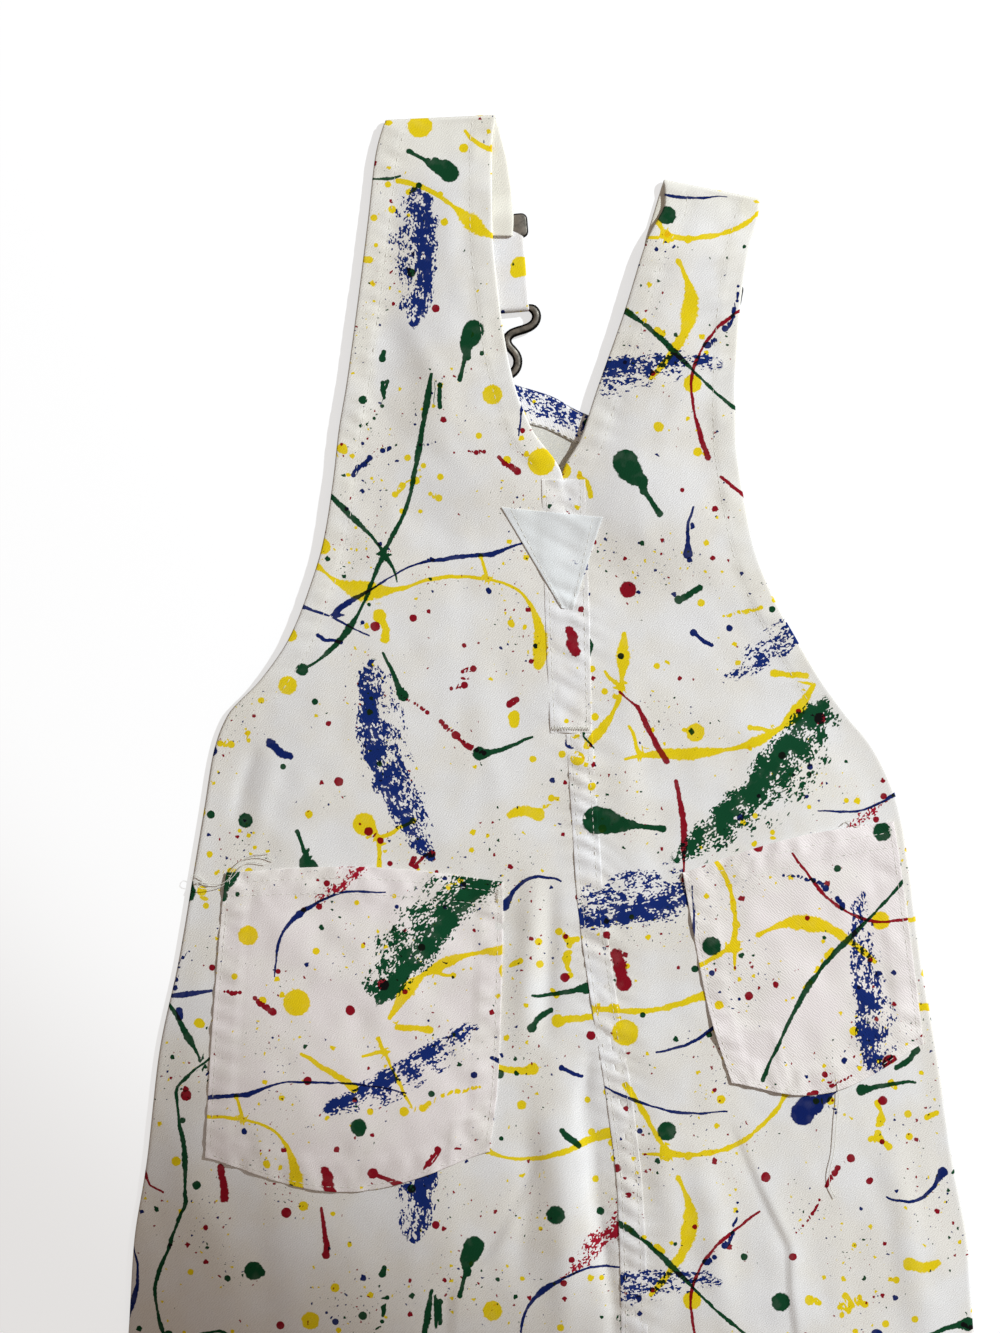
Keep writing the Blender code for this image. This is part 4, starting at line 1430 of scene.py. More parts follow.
# olive thread for the facing's lower edge, which also serves as a dark line of painted shade under that edge
OLIVE_THREAD = ThreadFinish("Olive thread", (116, 104, 62))
# bright is bare metal and the painted highlight on flat tops, dark is the patina and the painted shade on
# the sides
METAL = MetalFinish("Antique metal", (178, 172, 162), (26, 24, 22))


def new_object(name: str, data: bpy.types.ID) -> bpy.types.Object:
    """A new object in the scene.

    Args:
        name: its name.
        data: what it shows or does.

    Returns:
        The object.
    """
    made = bpy.data.objects.new(name, data)
    bpy.context.scene.collection.objects.link(made)
    return made


def new_mesh(name: str, shape: bmesh.types.BMesh) -> Mesh:
    """A finished shape as a mesh.

    Args:
        name: its name.
        shape: the shape, which is freed.

    Returns:
        The mesh.
    """
    made = bpy.data.meshes.new(name)
    shape.to_mesh(made)
    shape.free()
    return made


def add_piece(name: str, mesh: Mesh, slot: Slot, *finishes: Finish) -> bpy.types.Object:
    """A piece of the garment in the scene, smooth and with its finishes.

    Args:
        name: its name.
        mesh: its shape.
        slot: the record's material slot; not used.
        finishes: the finishes of the mesh's faces.

    Returns:
        The piece.
    """
    mesh.materials.clear()
    for finish in finishes:
        mesh.materials.append(finish.build())
    mesh.shade_smooth()
    piece = new_object(name, mesh)
    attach(piece, BODY)
    LOG.info("%s: %d faces", name, len(mesh.polygons))
    return piece


@dataclass(frozen=True)
class Cut:
    """Where a piece was cut out of the printed cloth: its shift in millimetres, and its turn."""

    x: float
    y: float
    turn: float = 0.0

    def place(self, flat: Array) -> Array:
        """Points of the flat piece on the printed cloth.

        Args:
            flat: the points, with x and y last.

        Returns:
            The places, in the same order.
        """
        c, s = math.cos(math.radians(self.turn)), math.sin(math.radians(self.turn))
        x, y = flat[..., 0], flat[..., 1]
        return np.stack([c * x - s * y + self.x, s * x + c * y + self.y], axis=-1)


class Edge(Enum):
    """An edge of a sheet's rows and columns."""

    TOP = "top"
    BOTTOM = "bottom"
    LEFT = "left"
    RIGHT = "right"


@dataclass
class ClothSheet:
    """A piece of cloth in rows and columns of points.

    points are their places in the garment and flat their places on the flat piece, both in
    millimetres, with the rows running down and the columns from left to right on the right side.
    Cloth without a flat of its own is flat as it lies. inked is 0 where the cloth is bare of the
    print, and ivory is 1 where it has yellowed.
    """

    name: str
    points: Array
    cut: Cut
    flat: Array | None = None
    finishes: tuple[TwillFinish, TwillFinish] = (RIGHT_SIDE, WRONG_SIDE)
    turned_over: bool = False
    thickness: float = CLOTH
    inked: Array | None = None
    ivory: Array | None = None

    def __post_init__(self) -> None:
        """Finds the flat piece."""
        if self.flat is None:
            self.flat = self.points[..., :2]

    def line(self, edge: Edge, inside: float, trim: int = 5) -> Array:
        """The top of the cloth along a line beside one of its edges.

        Args:
            edge: which edge.
            inside: how far from it.
            trim: how many points are left out at each end.

        Returns:
            Points, one a row.
        """
        across = edge in (Edge.LEFT, Edge.RIGHT)
        points, flat = (a.swapaxes(0, 1) if across else a for a in (self.points, self.flat))
        if edge in (Edge.BOTTOM, Edge.RIGHT):
            points, flat = points[::-1], flat[::-1]
        index = np.interp(inside, lengths_along(flat[:, flat.shape[1] // 2]), np.arange(len(flat)))
        low = int(index)
        chosen = points[low] + (index - low) * (points[low + 1] - points[low])
        return chosen[trim:-trim] + (0.0, 0.0, self.thickness / 2)

    def mesh(self) -> Mesh:
        """The grid, with its cloth map and the print's attributes.

        Returns:
            The mesh, in metres.
        """
        rows, columns = self.points.shape[:2]
        grid = bmesh.new()
        bmesh.ops.create_grid(grid, x_segments=columns - 1, y_segments=rows - 1, size=0.5)
        if self.turned_over:
            bmesh.ops.reverse_faces(grid, faces=grid.faces)
        made = new_mesh(self.name, grid)
        places = np.empty(len(made.vertices) * 3, np.float32)
        made.vertices.foreach_get("co", places)
        places = places.reshape(-1, 3)
        column = np.rint((places[:, 0] + 0.5) * (columns - 1)).astype(int)
        row = np.rint((0.5 - places[:, 1]) * (rows - 1)).astype(int)
        points = self.points[row, column] * MM
        made.vertices.foreach_set("co", points.astype(np.float32).ravel())
        cloth = self.cut.place(self.flat[row, column])
        corners = np.empty(len(made.loops), np.int32)
        made.loops.foreach_get("vertex_index", corners)
        layer = made.uv_layers.new(name="cloth")
        layer.data.foreach_set("uv", cloth[corners].astype(np.float32).ravel())
        inked = np.ones(len(cloth)) if self.inked is None else self.inked[row, column]
        ivory = np.zeros(len(cloth)) if self.ivory is None else self.ivory[row, column]
        for name, values in (PRINT.fields(cloth) | {"inked": inked, "ivory": ivory}).items():
            kind, part = ("FLOAT_VECTOR", "vector") if values.ndim == 2 else ("FLOAT", "value")
            store = made.attributes.new(name, kind, "POINT")
            store.data.foreach_set(part, values.astype(np.float32).ravel())
        made.update()
        return made

    def build(self, slot: Slot, *replaced: str, held: str = "laid", rests_on: Sequence[str] = ()) -> None:
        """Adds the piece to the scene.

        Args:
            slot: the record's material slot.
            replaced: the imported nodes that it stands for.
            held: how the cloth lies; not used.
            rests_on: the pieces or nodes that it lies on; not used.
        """
        piece = add_piece(self.name, self.mesh(), slot, *self.finishes)
        wall = piece.modifiers.new("Cloth", "SOLIDIFY")
        wall.thickness = self.thickness * MM
        wall.offset = 0.0
        wall.material_offset = 1
        if replaced:
            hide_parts(*replaced)


@dataclass(frozen=True)
class TurnedEdge:
    """A cloth edge turned under: for each section, the radius of the turn and the hem's width."""

    radius: Array
    width: Array


@dataclass(frozen=True)
class Columns:
    """Where the columns of a piece with turned edges lie across its sections."""

    under: int = 6
    arc: int = 5
    fine: int = 12
    middle: int = 82
    fine_reach: float = 12.0

    def turned(self, edge: TurnedEdge, width: Array) -> tuple[Array, Array, Array]:
        """The columns of a hem and its turn: places, drops and lengths, as in lay_out.

        Args:
            edge: the turned edge.
            width: the sections' widths.

        Returns:
            One row for each section of each.
        """
        radius = edge.radius[:, None]
        hem = np.minimum(edge.width, 0.46 * width)[:, None]
        flat = hem + (radius - hem) * np.linspace(0.0, 1.0, self.under)
        angle = np.linspace(math.pi, 0.0, self.arc + 2)[1:-1]
        place = np.concatenate([flat, radius * (1.0 - np.sin(angle))], axis=1)
        drop = np.concatenate([-2.0 * radius + 0.0 * flat, radius * (np.cos(angle) - 1.0)], axis=1)
        length = np.concatenate([radius * (2.0 - math.pi) - flat, radius * (1.0 - angle)], axis=1)
        return place, drop, length

    def lay_out(self, width: Array, outer: TurnedEdge, inner: TurnedEdge) -> tuple[Array, Array, Array]:
        """The columns of every section.

        Args:
            width: the sections' widths.
            outer: the edge that places are measured from.
            inner: the edge on the other side.

        Returns:
            One row for each section of places across it, drops below its surface, and lengths
            along the cloth.
        """
        near, far = self.turned(outer, width), self.turned(inner, width)
        span = width[:, None]
        reach = np.minimum(self.fine_reach, 0.28 * width)[:, None]
        start, end = outer.radius[:, None], span - inner.radius[:, None]
        fine = np.linspace(0.0, 1.0, self.fine + 1)
        middle = np.linspace(0.0, 1.0, self.middle + 2)[1:-1]
        broad = start + reach + (end - start - 2 * reach) * middle
        top = np.concatenate([start + reach * fine, broad, end - reach * fine[::-1]], axis=1)
        place = np.concatenate([near[0], top, span - far[0][:, ::-1]], axis=1)
        drop = np.concatenate([near[1], 0.0 * top, far[1][:, ::-1]], axis=1)
        length = np.concatenate([near[2], top, span - far[2][:, ::-1]], axis=1)
        return place, drop, length


def spread(rungs: Array, place: Array) -> Array:
    """Points at places along rungs, measured from their outer ends."""
    start, way = rungs[:, None, :2], rungs[:, None, 2:] - rungs[:, None, :2]
    return start + way * (place[..., None] / np.linalg.norm(way, axis=2, keepdims=True))


def rung_widths(rungs: Array) -> Array:
    """The lengths of rungs."""
    return np.hypot(rungs[:, 2] - rungs[:, 0], rungs[:, 3] - rungs[:, 1])


def stations_of(rungs: Sequence[Rung], pitch: float) -> Array:
    """Stations about a pitch apart along a ladder, with every rung among them.

    Args:
        rungs: the ladder.
        pitch: about how far apart they are.

    Returns:
        The stations.
    """
    table = np.array(rungs)
    middles = (table[:, :2] + table[:, 2:]) / 2
    parts = np.maximum(1, np.rint(np.hypot(*np.diff(middles, axis=0).T) / pitch)).astype(int)
    steps = [i + np.arange(count) / count for i, count in enumerate(parts)]
    return np.append(np.concatenate(steps), len(rungs) - 1.0)


def edge_lean(rungs: Array, edge: slice) -> Array:
    """How square each rung stands to its edge, from 0 to 1.

    Args:
        rungs: the rungs, one a row.
        edge: the two columns that hold the edge.

    Returns:
        One value for each rung.
    """
    along = np.gradient(rungs[:, edge], axis=0)
    across = rungs[:, 2:] - rungs[:, :2]
    crossed = np.abs(along[:, 0] * across[:, 1] - along[:, 1] * across[:, 0])
    size = np.linalg.norm(along, axis=1) * np.linalg.norm(across, axis=1)
    return np.clip(crossed / np.maximum(size, ROUNDING), 0.35, 1.0)


@dataclass
class BackHalf:
    """One half of the back in one piece, from the folded-under strap end down to the leg hem."""

    side: Side
    cut: Cut
    strap_pitch: float = 2.0
    body_pitch: float = 2.2
    leg_pitch: float = 3.8
    armhole_turn: float = 0.4
    shoulder_turn: float = 0.3
    fold_turn: float = 0.72
    seam_turn: float = 0.3
    hem_turn: float = 0.35
    leg_hem: float = 18.0
    armhole_end: float = 214.0  # the lowest level of the armhole's stitches
    neck_end: float = 306.0  # the lowest level of the neck's stitches
    neck_start: Pair = (303.6, 5.0)  # where the neck's hem starts, and over how far it opens
    fold_tuck: float = 1.3  # how much cloth shows turned under at a fold
    seam_tuck: float = 0.9  # the same at the centre seam
    strap_end_height: float = 0.42
    over_slider: Triple = (12.5, 9.5, 4.15)  # starts, reach, height
    turn_steps: int = 9

    def __post_init__(self) -> None:
        """Lays out the rows."""
        self.rungs, self.flat_rungs, self.up, self.level, self.drop = self.rows()
        self.on_form = np.isnan(self.level) & (self.drop == 0)
        self.outer_lean = edge_lean(self.rungs, slice(0, 2))
        self.inner_lean = edge_lean(self.rungs, slice(2, 4))

    def ladder_rows(self) -> Array:
        """Rungs from the shoulder fold down, close together at the strap and wider on the leg.

        Returns:
            The rungs, one a row.
        """
        ladder = FORM.ladder(self.side)
        crotch = len(ladder) - len(LEG_LEVELS)
        strap_rungs = len(STRAPS[self.side])
        upper = stations_of(ladder[: crotch + 1], self.strap_pitch)
        body = stations_of(ladder[: crotch + 1], self.body_pitch)
        stations = np.concatenate([upper[upper < strap_rungs], body[body >= strap_rungs]])
        rows = resample(ladder[: crotch + 1], stations[:-1])
        leg = resample(ladder[crotch:], stations_of(ladder[crotch:], self.leg_pitch))
        return np.concatenate([rows, leg])

    def rows(self) -> tuple[Array, Array, Array, Array, Array]:
        """Every row's rung, its rung on the flat cloth, upward direction, level and drop.

        Returns:
            The five, with one entry for each row. A row whose level isn't a number lies on the form.
        """
        fold = np.array(STRAPS[self.side][0])
        along = fold[2:] - fold[:2]
        along /= np.hypot(*along)
        out = np.array([-along[1], along[0]]) * (1.0 if along[0] > 0 else -1.0)
        stations = np.insert(stations_of(STRAP_ENDS[self.side], self.strap_pitch), 1, 0.06)
        ends = resample(STRAP_ENDS[self.side], stations)
        steps = max(1, int(np.hypot(*(fold[:2] - ends[-1][:2])) / self.strap_pitch))
        bridge = ends[-1] + (fold - ends[-1]) * (np.arange(1, steps) / steps)[:, None]
        below = np.concatenate([ends, bridge])
        on_top = self.ladder_rows()[1:]

        def moved(rung: Array, way: Array, distances: Array) -> Array:
            """A rung moved each of the distances along a way."""
            return rung + np.tile(np.outer(distances, way), 2)

        radius, arc = FORM.shoulder_height / 2, math.pi * FORM.shoulder_height / 2
        turns = np.radians(np.linspace(-90.0, 90.0, self.turn_steps))
        hem_angles = np.radians([50.0, 10.0, -30.0, -70.0])
        hem_rises, down = np.array([1.0, 6.0, self.leg_hem]), np.array([0.0, -1.0])
        round_fold = moved(fold, out, radius * (np.cos(turns) - 1.0))
        hem = moved(on_top[-1], down, np.cos(hem_angles) * self.hem_turn)
        back_up = moved(on_top[-1], down, -hem_rises)
        rungs = np.concatenate([below, round_fold, on_top, hem, back_up])
        points = below.reshape(-1, 2)
        turned_over = points + np.outer(arc - 2.0 * (points - fold[:2]) @ out, out)
        over_flat = moved(fold, out, radius * (math.pi / 2 - turns))
        hem_flat = moved(on_top[-1], down, self.hem_turn * (math.pi / 2 - hem_angles))
        up_flat = moved(on_top[-1], down, self.hem_turn * math.pi + hem_rises)
        flat = np.concatenate([turned_over.reshape(-1, 4), over_flat, on_top, hem_flat, up_flat])

        start, top = len(below), len(below) + len(turns)
        up = np.zeros((len(rungs), 3))
        up[:start, 2], up[top:, 2] = -1.0, 1.0
        up[start:top] = np.column_stack([np.outer(np.cos(turns), out), np.sin(turns)])
        level = np.full(len(rungs), np.nan)
        middle_y = (below[:, 1] + below[:, 3]) / 2
        over = smoothstep((SLIDERS[self.side][1] + self.over_slider[0] - middle_y) / self.over_slider[1])
        level[:start] = self.strap_end_height + (self.over_slider[2] - self.strap_end_height) * over
        level[start:top] = FORM.middle + radius * (1.0 + np.sin(turns))
        drop = np.zeros(len(rungs))
        drop[-len(hem) - len(back_up) : -len(back_up)] = self.hem_turn * (1.0 - np.sin(hem_angles))
        drop[-len(back_up) :] = 2.0 * self.hem_turn
        return rungs, flat, up, level, drop

    def edges(self) -> tuple[TurnedEdge, TurnedEdge]:
        """The outer and the inner edge: hems at the armhole and neck, rolls at the folds.

        Returns:
            The two edges.
        """
        y_out, y_in = self.rungs[:, 1], self.rungs[:, 3]
        fixed = ~np.isnan(self.level)
        fold = np.where(fixed, 0.0, FORM.fold_share(y_out))
        outer_r = self.armhole_turn + (self.fold_turn - self.armhole_turn) * fold - self.drop / 2
        outer_h = FORM.hem / self.outer_lean * (1.0 - fold) + self.fold_tuck * fold
        neck = np.where(fixed, 1.0, smoothstep((y_in - self.neck_start[0]) / self.neck_start[1]))
        inseam = FORM.inseam_share(y_in)
        inner_r = self.seam_turn + (self.armhole_turn - self.seam_turn) * neck
        inner_r = inner_r + (self.fold_turn - self.seam_turn) * inseam - self.drop / 2
        inner_h = self.seam_tuck + (FORM.hem / self.inner_lean - self.seam_tuck) * neck
        inner_h = inner_h + (self.fold_tuck - self.seam_tuck) * inseam
        turning = fixed & (np.abs(self.up[:, 2]) < 0.999)
        outer_r = np.where(turning, self.shoulder_turn, outer_r)
        inner_r = np.where(turning, self.shoulder_turn, inner_r)
        return TurnedEdge(outer_r, outer_h), TurnedEdge(np.maximum(inner_r, 0.15), inner_h)

    def heights(self, x: Array, y: Array, place: Array, width: Array, rows: Array) -> Array:
        """Height of the middle of the cloth at places across rows that lie on the form.

        Args:
            x: the points' x.
            y: the points' y.
            place: how far they are from the outer edge.
            width: those rows' widths.
            rows: the rows that they are on.

        Returns:
            The heights.
        """
        to_outer = np.maximum(place, 0.0)
        to_inner = np.maximum(width - place, 0.0)
        base = FORM.back_height(x, y, self.side, to_outer, to_inner)
        outer, inner = to_outer * self.outer_lean[rows], to_inner * self.inner_lean[rows]
        return base + FORM.relief(x, y, self.side, outer, inner) - self.drop[rows]

    def build(self) -> None:
        """Adds the cloth to the scene."""
        outer, inner = self.edges()
        width = rung_widths(self.rungs)
        place, drop, length = Columns().lay_out(width, outer, inner)
        plan = spread(self.rungs, place)
        x, y = plan[..., 0], plan[..., 1]
        rows = np.broadcast_to(np.arange(len(self.rungs))[:, None], place.shape)
        height = self.heights(x, y, place, width[:, None], rows)
        under = 0.1 * soft_noise(41, x / 9.0, y / 12.0)
        fixed = np.isnan(self.level)[:, None]
        height = np.where(fixed, height, self.level[:, None] + under * (self.up[:, 2:3] < -0.9))
        points = np.dstack([plan, height])
        points += drop[..., None] * self.up[:, None, :]
        points[..., 2] = np.maximum(points[..., 2], CLOTH / 2 + 0.02)
        flat = spread(self.flat_rungs, length * (rung_widths(self.flat_rungs) / width)[:, None])
        hem_of_strap_end = (self.up[:, 2:3] < -0.9) & (drop < -0.1)
        wear_and_painted_light = 4.0 * soft_noise(43, x / 9.0, y / 16.0)
        to_outer = place * self.outer_lean[:, None]
        to_inner = (width[:, None] - place) * self.inner_lean[:, None]
        ivory = 0.9 * smoothstep((y - STRAPS[self.side][1].inner_y + 22.0) / 26.0)
        for inside, low in ((to_outer, 190.0), (to_inner, FORM.neck_y)):
            hemmed = fade(inside + wear_and_painted_light, FORM.hem - 3.0, 8.0)
            ivory = np.maximum(ivory, 0.55 * hemmed * smoothstep((y - low) / 30.0))
        ivory = np.maximum(ivory, 1.3 - smoothstep(self.up[:, 2:3] + 1.0))
        ivory += 2.2 * bump(np.hypot(x - 77.0, y - 409.0), 3.2)
        name = self.side.value
        sheet = ClothSheet(
            f"back_cloth_{name}", points, self.cut, flat, turned_over=self.side is Side.RIGHT,
            inked=np.where(hem_of_strap_end, 0.0, 1.0), ivory=ivory,
        )
        lower = ("bib_cloth", f"front_cloth_{name}")
        sheet.build(Slot.TWILL, f"strap_{name}", f"back_{name}", rests_on=lower)

    def top(self, rows: Array, place: Array) -> Array:
        """The top of the cloth, at a place across each of the rows.

        Args:
            rows: the rows.
            place: one place for each row, from the outer edge.

        Returns:
            Points, one a row.
        """
        rungs = self.rungs[rows]
        plan = spread(rungs, place[:, None])[:, 0]
        height = self.heights(*plan.T, place, rung_widths(rungs), rows)
        return np.column_stack([plan, height + CLOTH / 2])

    def hem_line(self, armhole: bool) -> Array:
        """The top of the cloth along the stitches of the armhole's or the neck's hem.

        Args:
            armhole: of the armhole's hem, not the neck's.

        Returns:
            Points, one a row.
        """
        if armhole:
            rows = np.nonzero(self.on_form & (self.rungs[:, 1] > self.armhole_end))[0]
            return self.top(rows, FORM.hem_stitch / self.outer_lean[rows])
        rows = np.nonzero(self.on_form & (self.rungs[:, 3] > self.neck_end))[0]
        return self.top(rows, rung_widths(self.rungs[rows]) - FORM.hem_stitch / self.inner_lean[rows])

    def leg_hem_line(self) -> Array:
        """The top of the cloth along the stitches of the leg hem.

        Returns:
            Points, one a row.
        """
        away = np.abs(self.rungs[:, 1] - FORM.hem_y - self.leg_hem + 1.5)
        row = np.argmin(np.where(self.on_form, away, FAR))
        place = np.linspace(2.0, rung_widths(self.rungs)[row] - 2.0, 90)
        return self.top(np.full(len(place), row), place)


def graded(length: float, pitch: float, edge: Sequence[float] = (0.0, 0.15, 0.35, 0.65, 1.2)) -> Array:
    """Places from 0 to a length, close together at both ends and evenly spaced between.

    Args:
        length: the length.
        pitch: about how far apart they are between the ends.
        edge: the places at an end.

    Returns:
        The places.
    """
    start = np.array(edge)
    count = max(2, int(round((length - 2 * start[-1]) / pitch)) + 1)
    between = np.linspace(start[-1], length - start[-1], count)
    return np.concatenate([start[:-1], between, length - start[:-1][::-1]])


def rolled_edge(distance: Array, fall: float = 0.1, reach: float = 1.3) -> Array:
    """How far cloth bends down at a folded edge, at distances from it."""
    short = np.clip(1.0 - distance / reach, 0.0, 1.0)
    return fall * short * short


@dataclass
class Pocket:
    """A patch pocket on the back, with its hems pressed through to the front."""

    side: Side
    cut: Cut
    corner_size: Pair
    pitch: float = 1.55
    mouth_hem: float = 11.0
    side_hem: float = 9.5
    hem_rise: float = 0.3
    thickness: float = 0.45
    seed: int = 51

    def sheet(self) -> ClothSheet:
        """The pocket as a sheet of cloth.

        Returns:
            The sheet.
        """
        table = POCKETS[self.side]
        rungs = [rung for rung, _ in table]
        middles = np.array(rungs).reshape(-1, 2, 2).mean(axis=1)
        lengths = lengths_along(middles)
        down = graded(lengths[-1], self.pitch)
        stations = np.interp(down, lengths, np.arange(len(table)))
        rows = resample(rungs, stations)
        sags = steady_curve(np.arange(len(table)), [sag for _, sag in table], stations)
        width = rung_widths(rows)
        share = graded(width.mean(), self.pitch) / width.mean()
        place = share * width[:, None]
        plan = spread(rows, place)
        plan[..., 1] -= sags[:, None] * np.sin(np.pi * np.clip(share, 0.0, 1.0)) ** 1.2
        x, y = plan[..., 0], plan[..., 1]
        height = FORM.surface(x, y) + (CLOTH + self.thickness) / 2 + 0.04
        height = height + self.relief(x, y, place, width[:, None], down[:, None], lengths[-1])
        points = np.dstack([x, y, height])
        return ClothSheet(
            f"pocket_cloth_{self.side.value}", points, self.cut, finishes=(POCKET_CLOTH, WRONG_SIDE),
            thickness=self.thickness,
        )

    def relief(self, x: Array, y: Array, place: Array, width: Array, down: Array, length: float) -> Array:
        """The hems, the folded corner, the puckers and the slack of the mouth.

        Args:
            x: the points' x.
            y: the points' y.
            place: their distance from the left edge.
            width: the pocket's width there.
            down: their distance from the mouth.
            length: the pocket's length.

        Returns:
            The heights to add.
        """
        to_side, to_bottom = np.minimum(place, width - place), length - down
        to_seam = np.minimum(to_side, to_bottom)
        inside = np.minimum(to_seam, down)
        band = np.maximum(fade(to_seam, self.side_hem - 0.7, 1.5), fade(down, self.mouth_hem - 0.7, 1.4))
        groove = -0.22 * bump(down - self.mouth_hem + 0.4, 0.9) - 0.2 * bump(to_seam - STITCH_IN, 0.8)
        along = np.where(to_side < np.minimum(to_bottom, down), y, x)
        reach = bump(inside - 4.0, 7.0)
        puckers = 0.27 * ripples(along + 0.5 * inside, inside, 7.4, self.seed)
        puckers += 0.4 * soft_noise(self.seed + 5, (along - 0.4 * inside) / 3.6, inside / 7.0)
        puckers += 0.28 * soft_noise(self.seed + 2, along / 8.0, inside / 10.0)
        over_x = (width - place if self.side is Side.LEFT else place) - self.corner_size[0]
        over_y = to_bottom - self.corner_size[1]
        past = np.maximum(over_x, over_y)
        in_corner = fade(over_x, -0.8, 1.6) * fade(over_y, -0.8, 1.6)
        corner = 0.3 * in_corner + 0.4 * bump(past, 1.3) * (past < 4.0)
        slack = 0.45 * np.sin(np.pi * np.clip(place / width, 0.0, 1.0)) * bump(down, 16.0)
        soft = 0.34 * soft_noise(self.seed + 3, x / 17.0 + y / 40.0, y / 27.0)
        soft += 0.26 * soft_noise(self.seed + 4, x / 7.5, y / 8.5)
        return self.hem_rise * band + groove + reach * puckers + corner + slack + soft - rolled_edge(inside)

    def build(self) -> None:
        """Adds the pocket to the scene."""
        name = self.side.value
        self.sheet().build(Slot.POCKET, f"pocket_{name}", rests_on=(f"back_cloth_{name}",))


@dataclass
class Strip:
    """A strip of cloth down the centre seam.

    levels has a y, a left edge and a right edge in each row.
    """

    name: str
    levels: Sequence[Triple]
    cut: Cut
    finishes: tuple[TwillFinish, TwillFinish] = (RIGHT_SIDE, WRONG_SIDE)
    slot: Slot = Slot.TWILL
    pitch: float = 1.5
    puckers: float = 0.42
    tilt: float = 0.0
    lift: Callable[[Array, Array], Array | float] = lambda x, y: 0.0
    thickness: float = 0.3

    def sheet(self) -> ClothSheet:
        """The strip as a sheet of cloth.

        Returns:
            The sheet.
        """
        ys, lefts, rights = np.array(self.levels).T
        level = ys[0] - graded(ys[0] - ys[-1], self.pitch)
        left, right = steady_curve(-ys, lefts, -level), steady_curve(-ys, rights, -level)
        width = (right - left)[:, None]
        share = graded(width.mean(), self.pitch * 0.8) / width.mean()
        across = share * width
        x = left[:, None] + across
        y = level[:, None] + self.tilt * across
        inside = np.minimum(share, 1.0 - share) * width
        ends = np.minimum(ys[0] - level, level - ys[-1])[:, None]
        slant = y + 0.5 * across
        drawn = 0.7 * ripples(slant, inside, 6.8, 61) * smoothstep(inside / 3.0)
        drawn += 0.8 * soft_noise(65, slant / 3.6, across / 6.0) * smoothstep(inside / 4.0)
        drawn += 0.7 * soft_noise(63, y / 11.0, across / 12.0)
        height = FORM.surface(x, y) + (CLOTH + self.thickness) / 2 - 0.04 + self.lift(x, y)
        height += self.puckers * drawn - 0.14 * bump(inside - STITCH_IN, 0.9)
        height = height - rolled_edge(np.minimum(inside, ends))
        points = np.dstack([x, y, height])
        return ClothSheet(
            f"{self.name}_cloth", points, self.cut, finishes=self.finishes, thickness=self.thickness
        )

    def build(self) -> None:
        """Adds the strip to the scene."""
        self.sheet().build(self.slot, self.name, rests_on=("back_cloth_left", "back_cloth_right"))


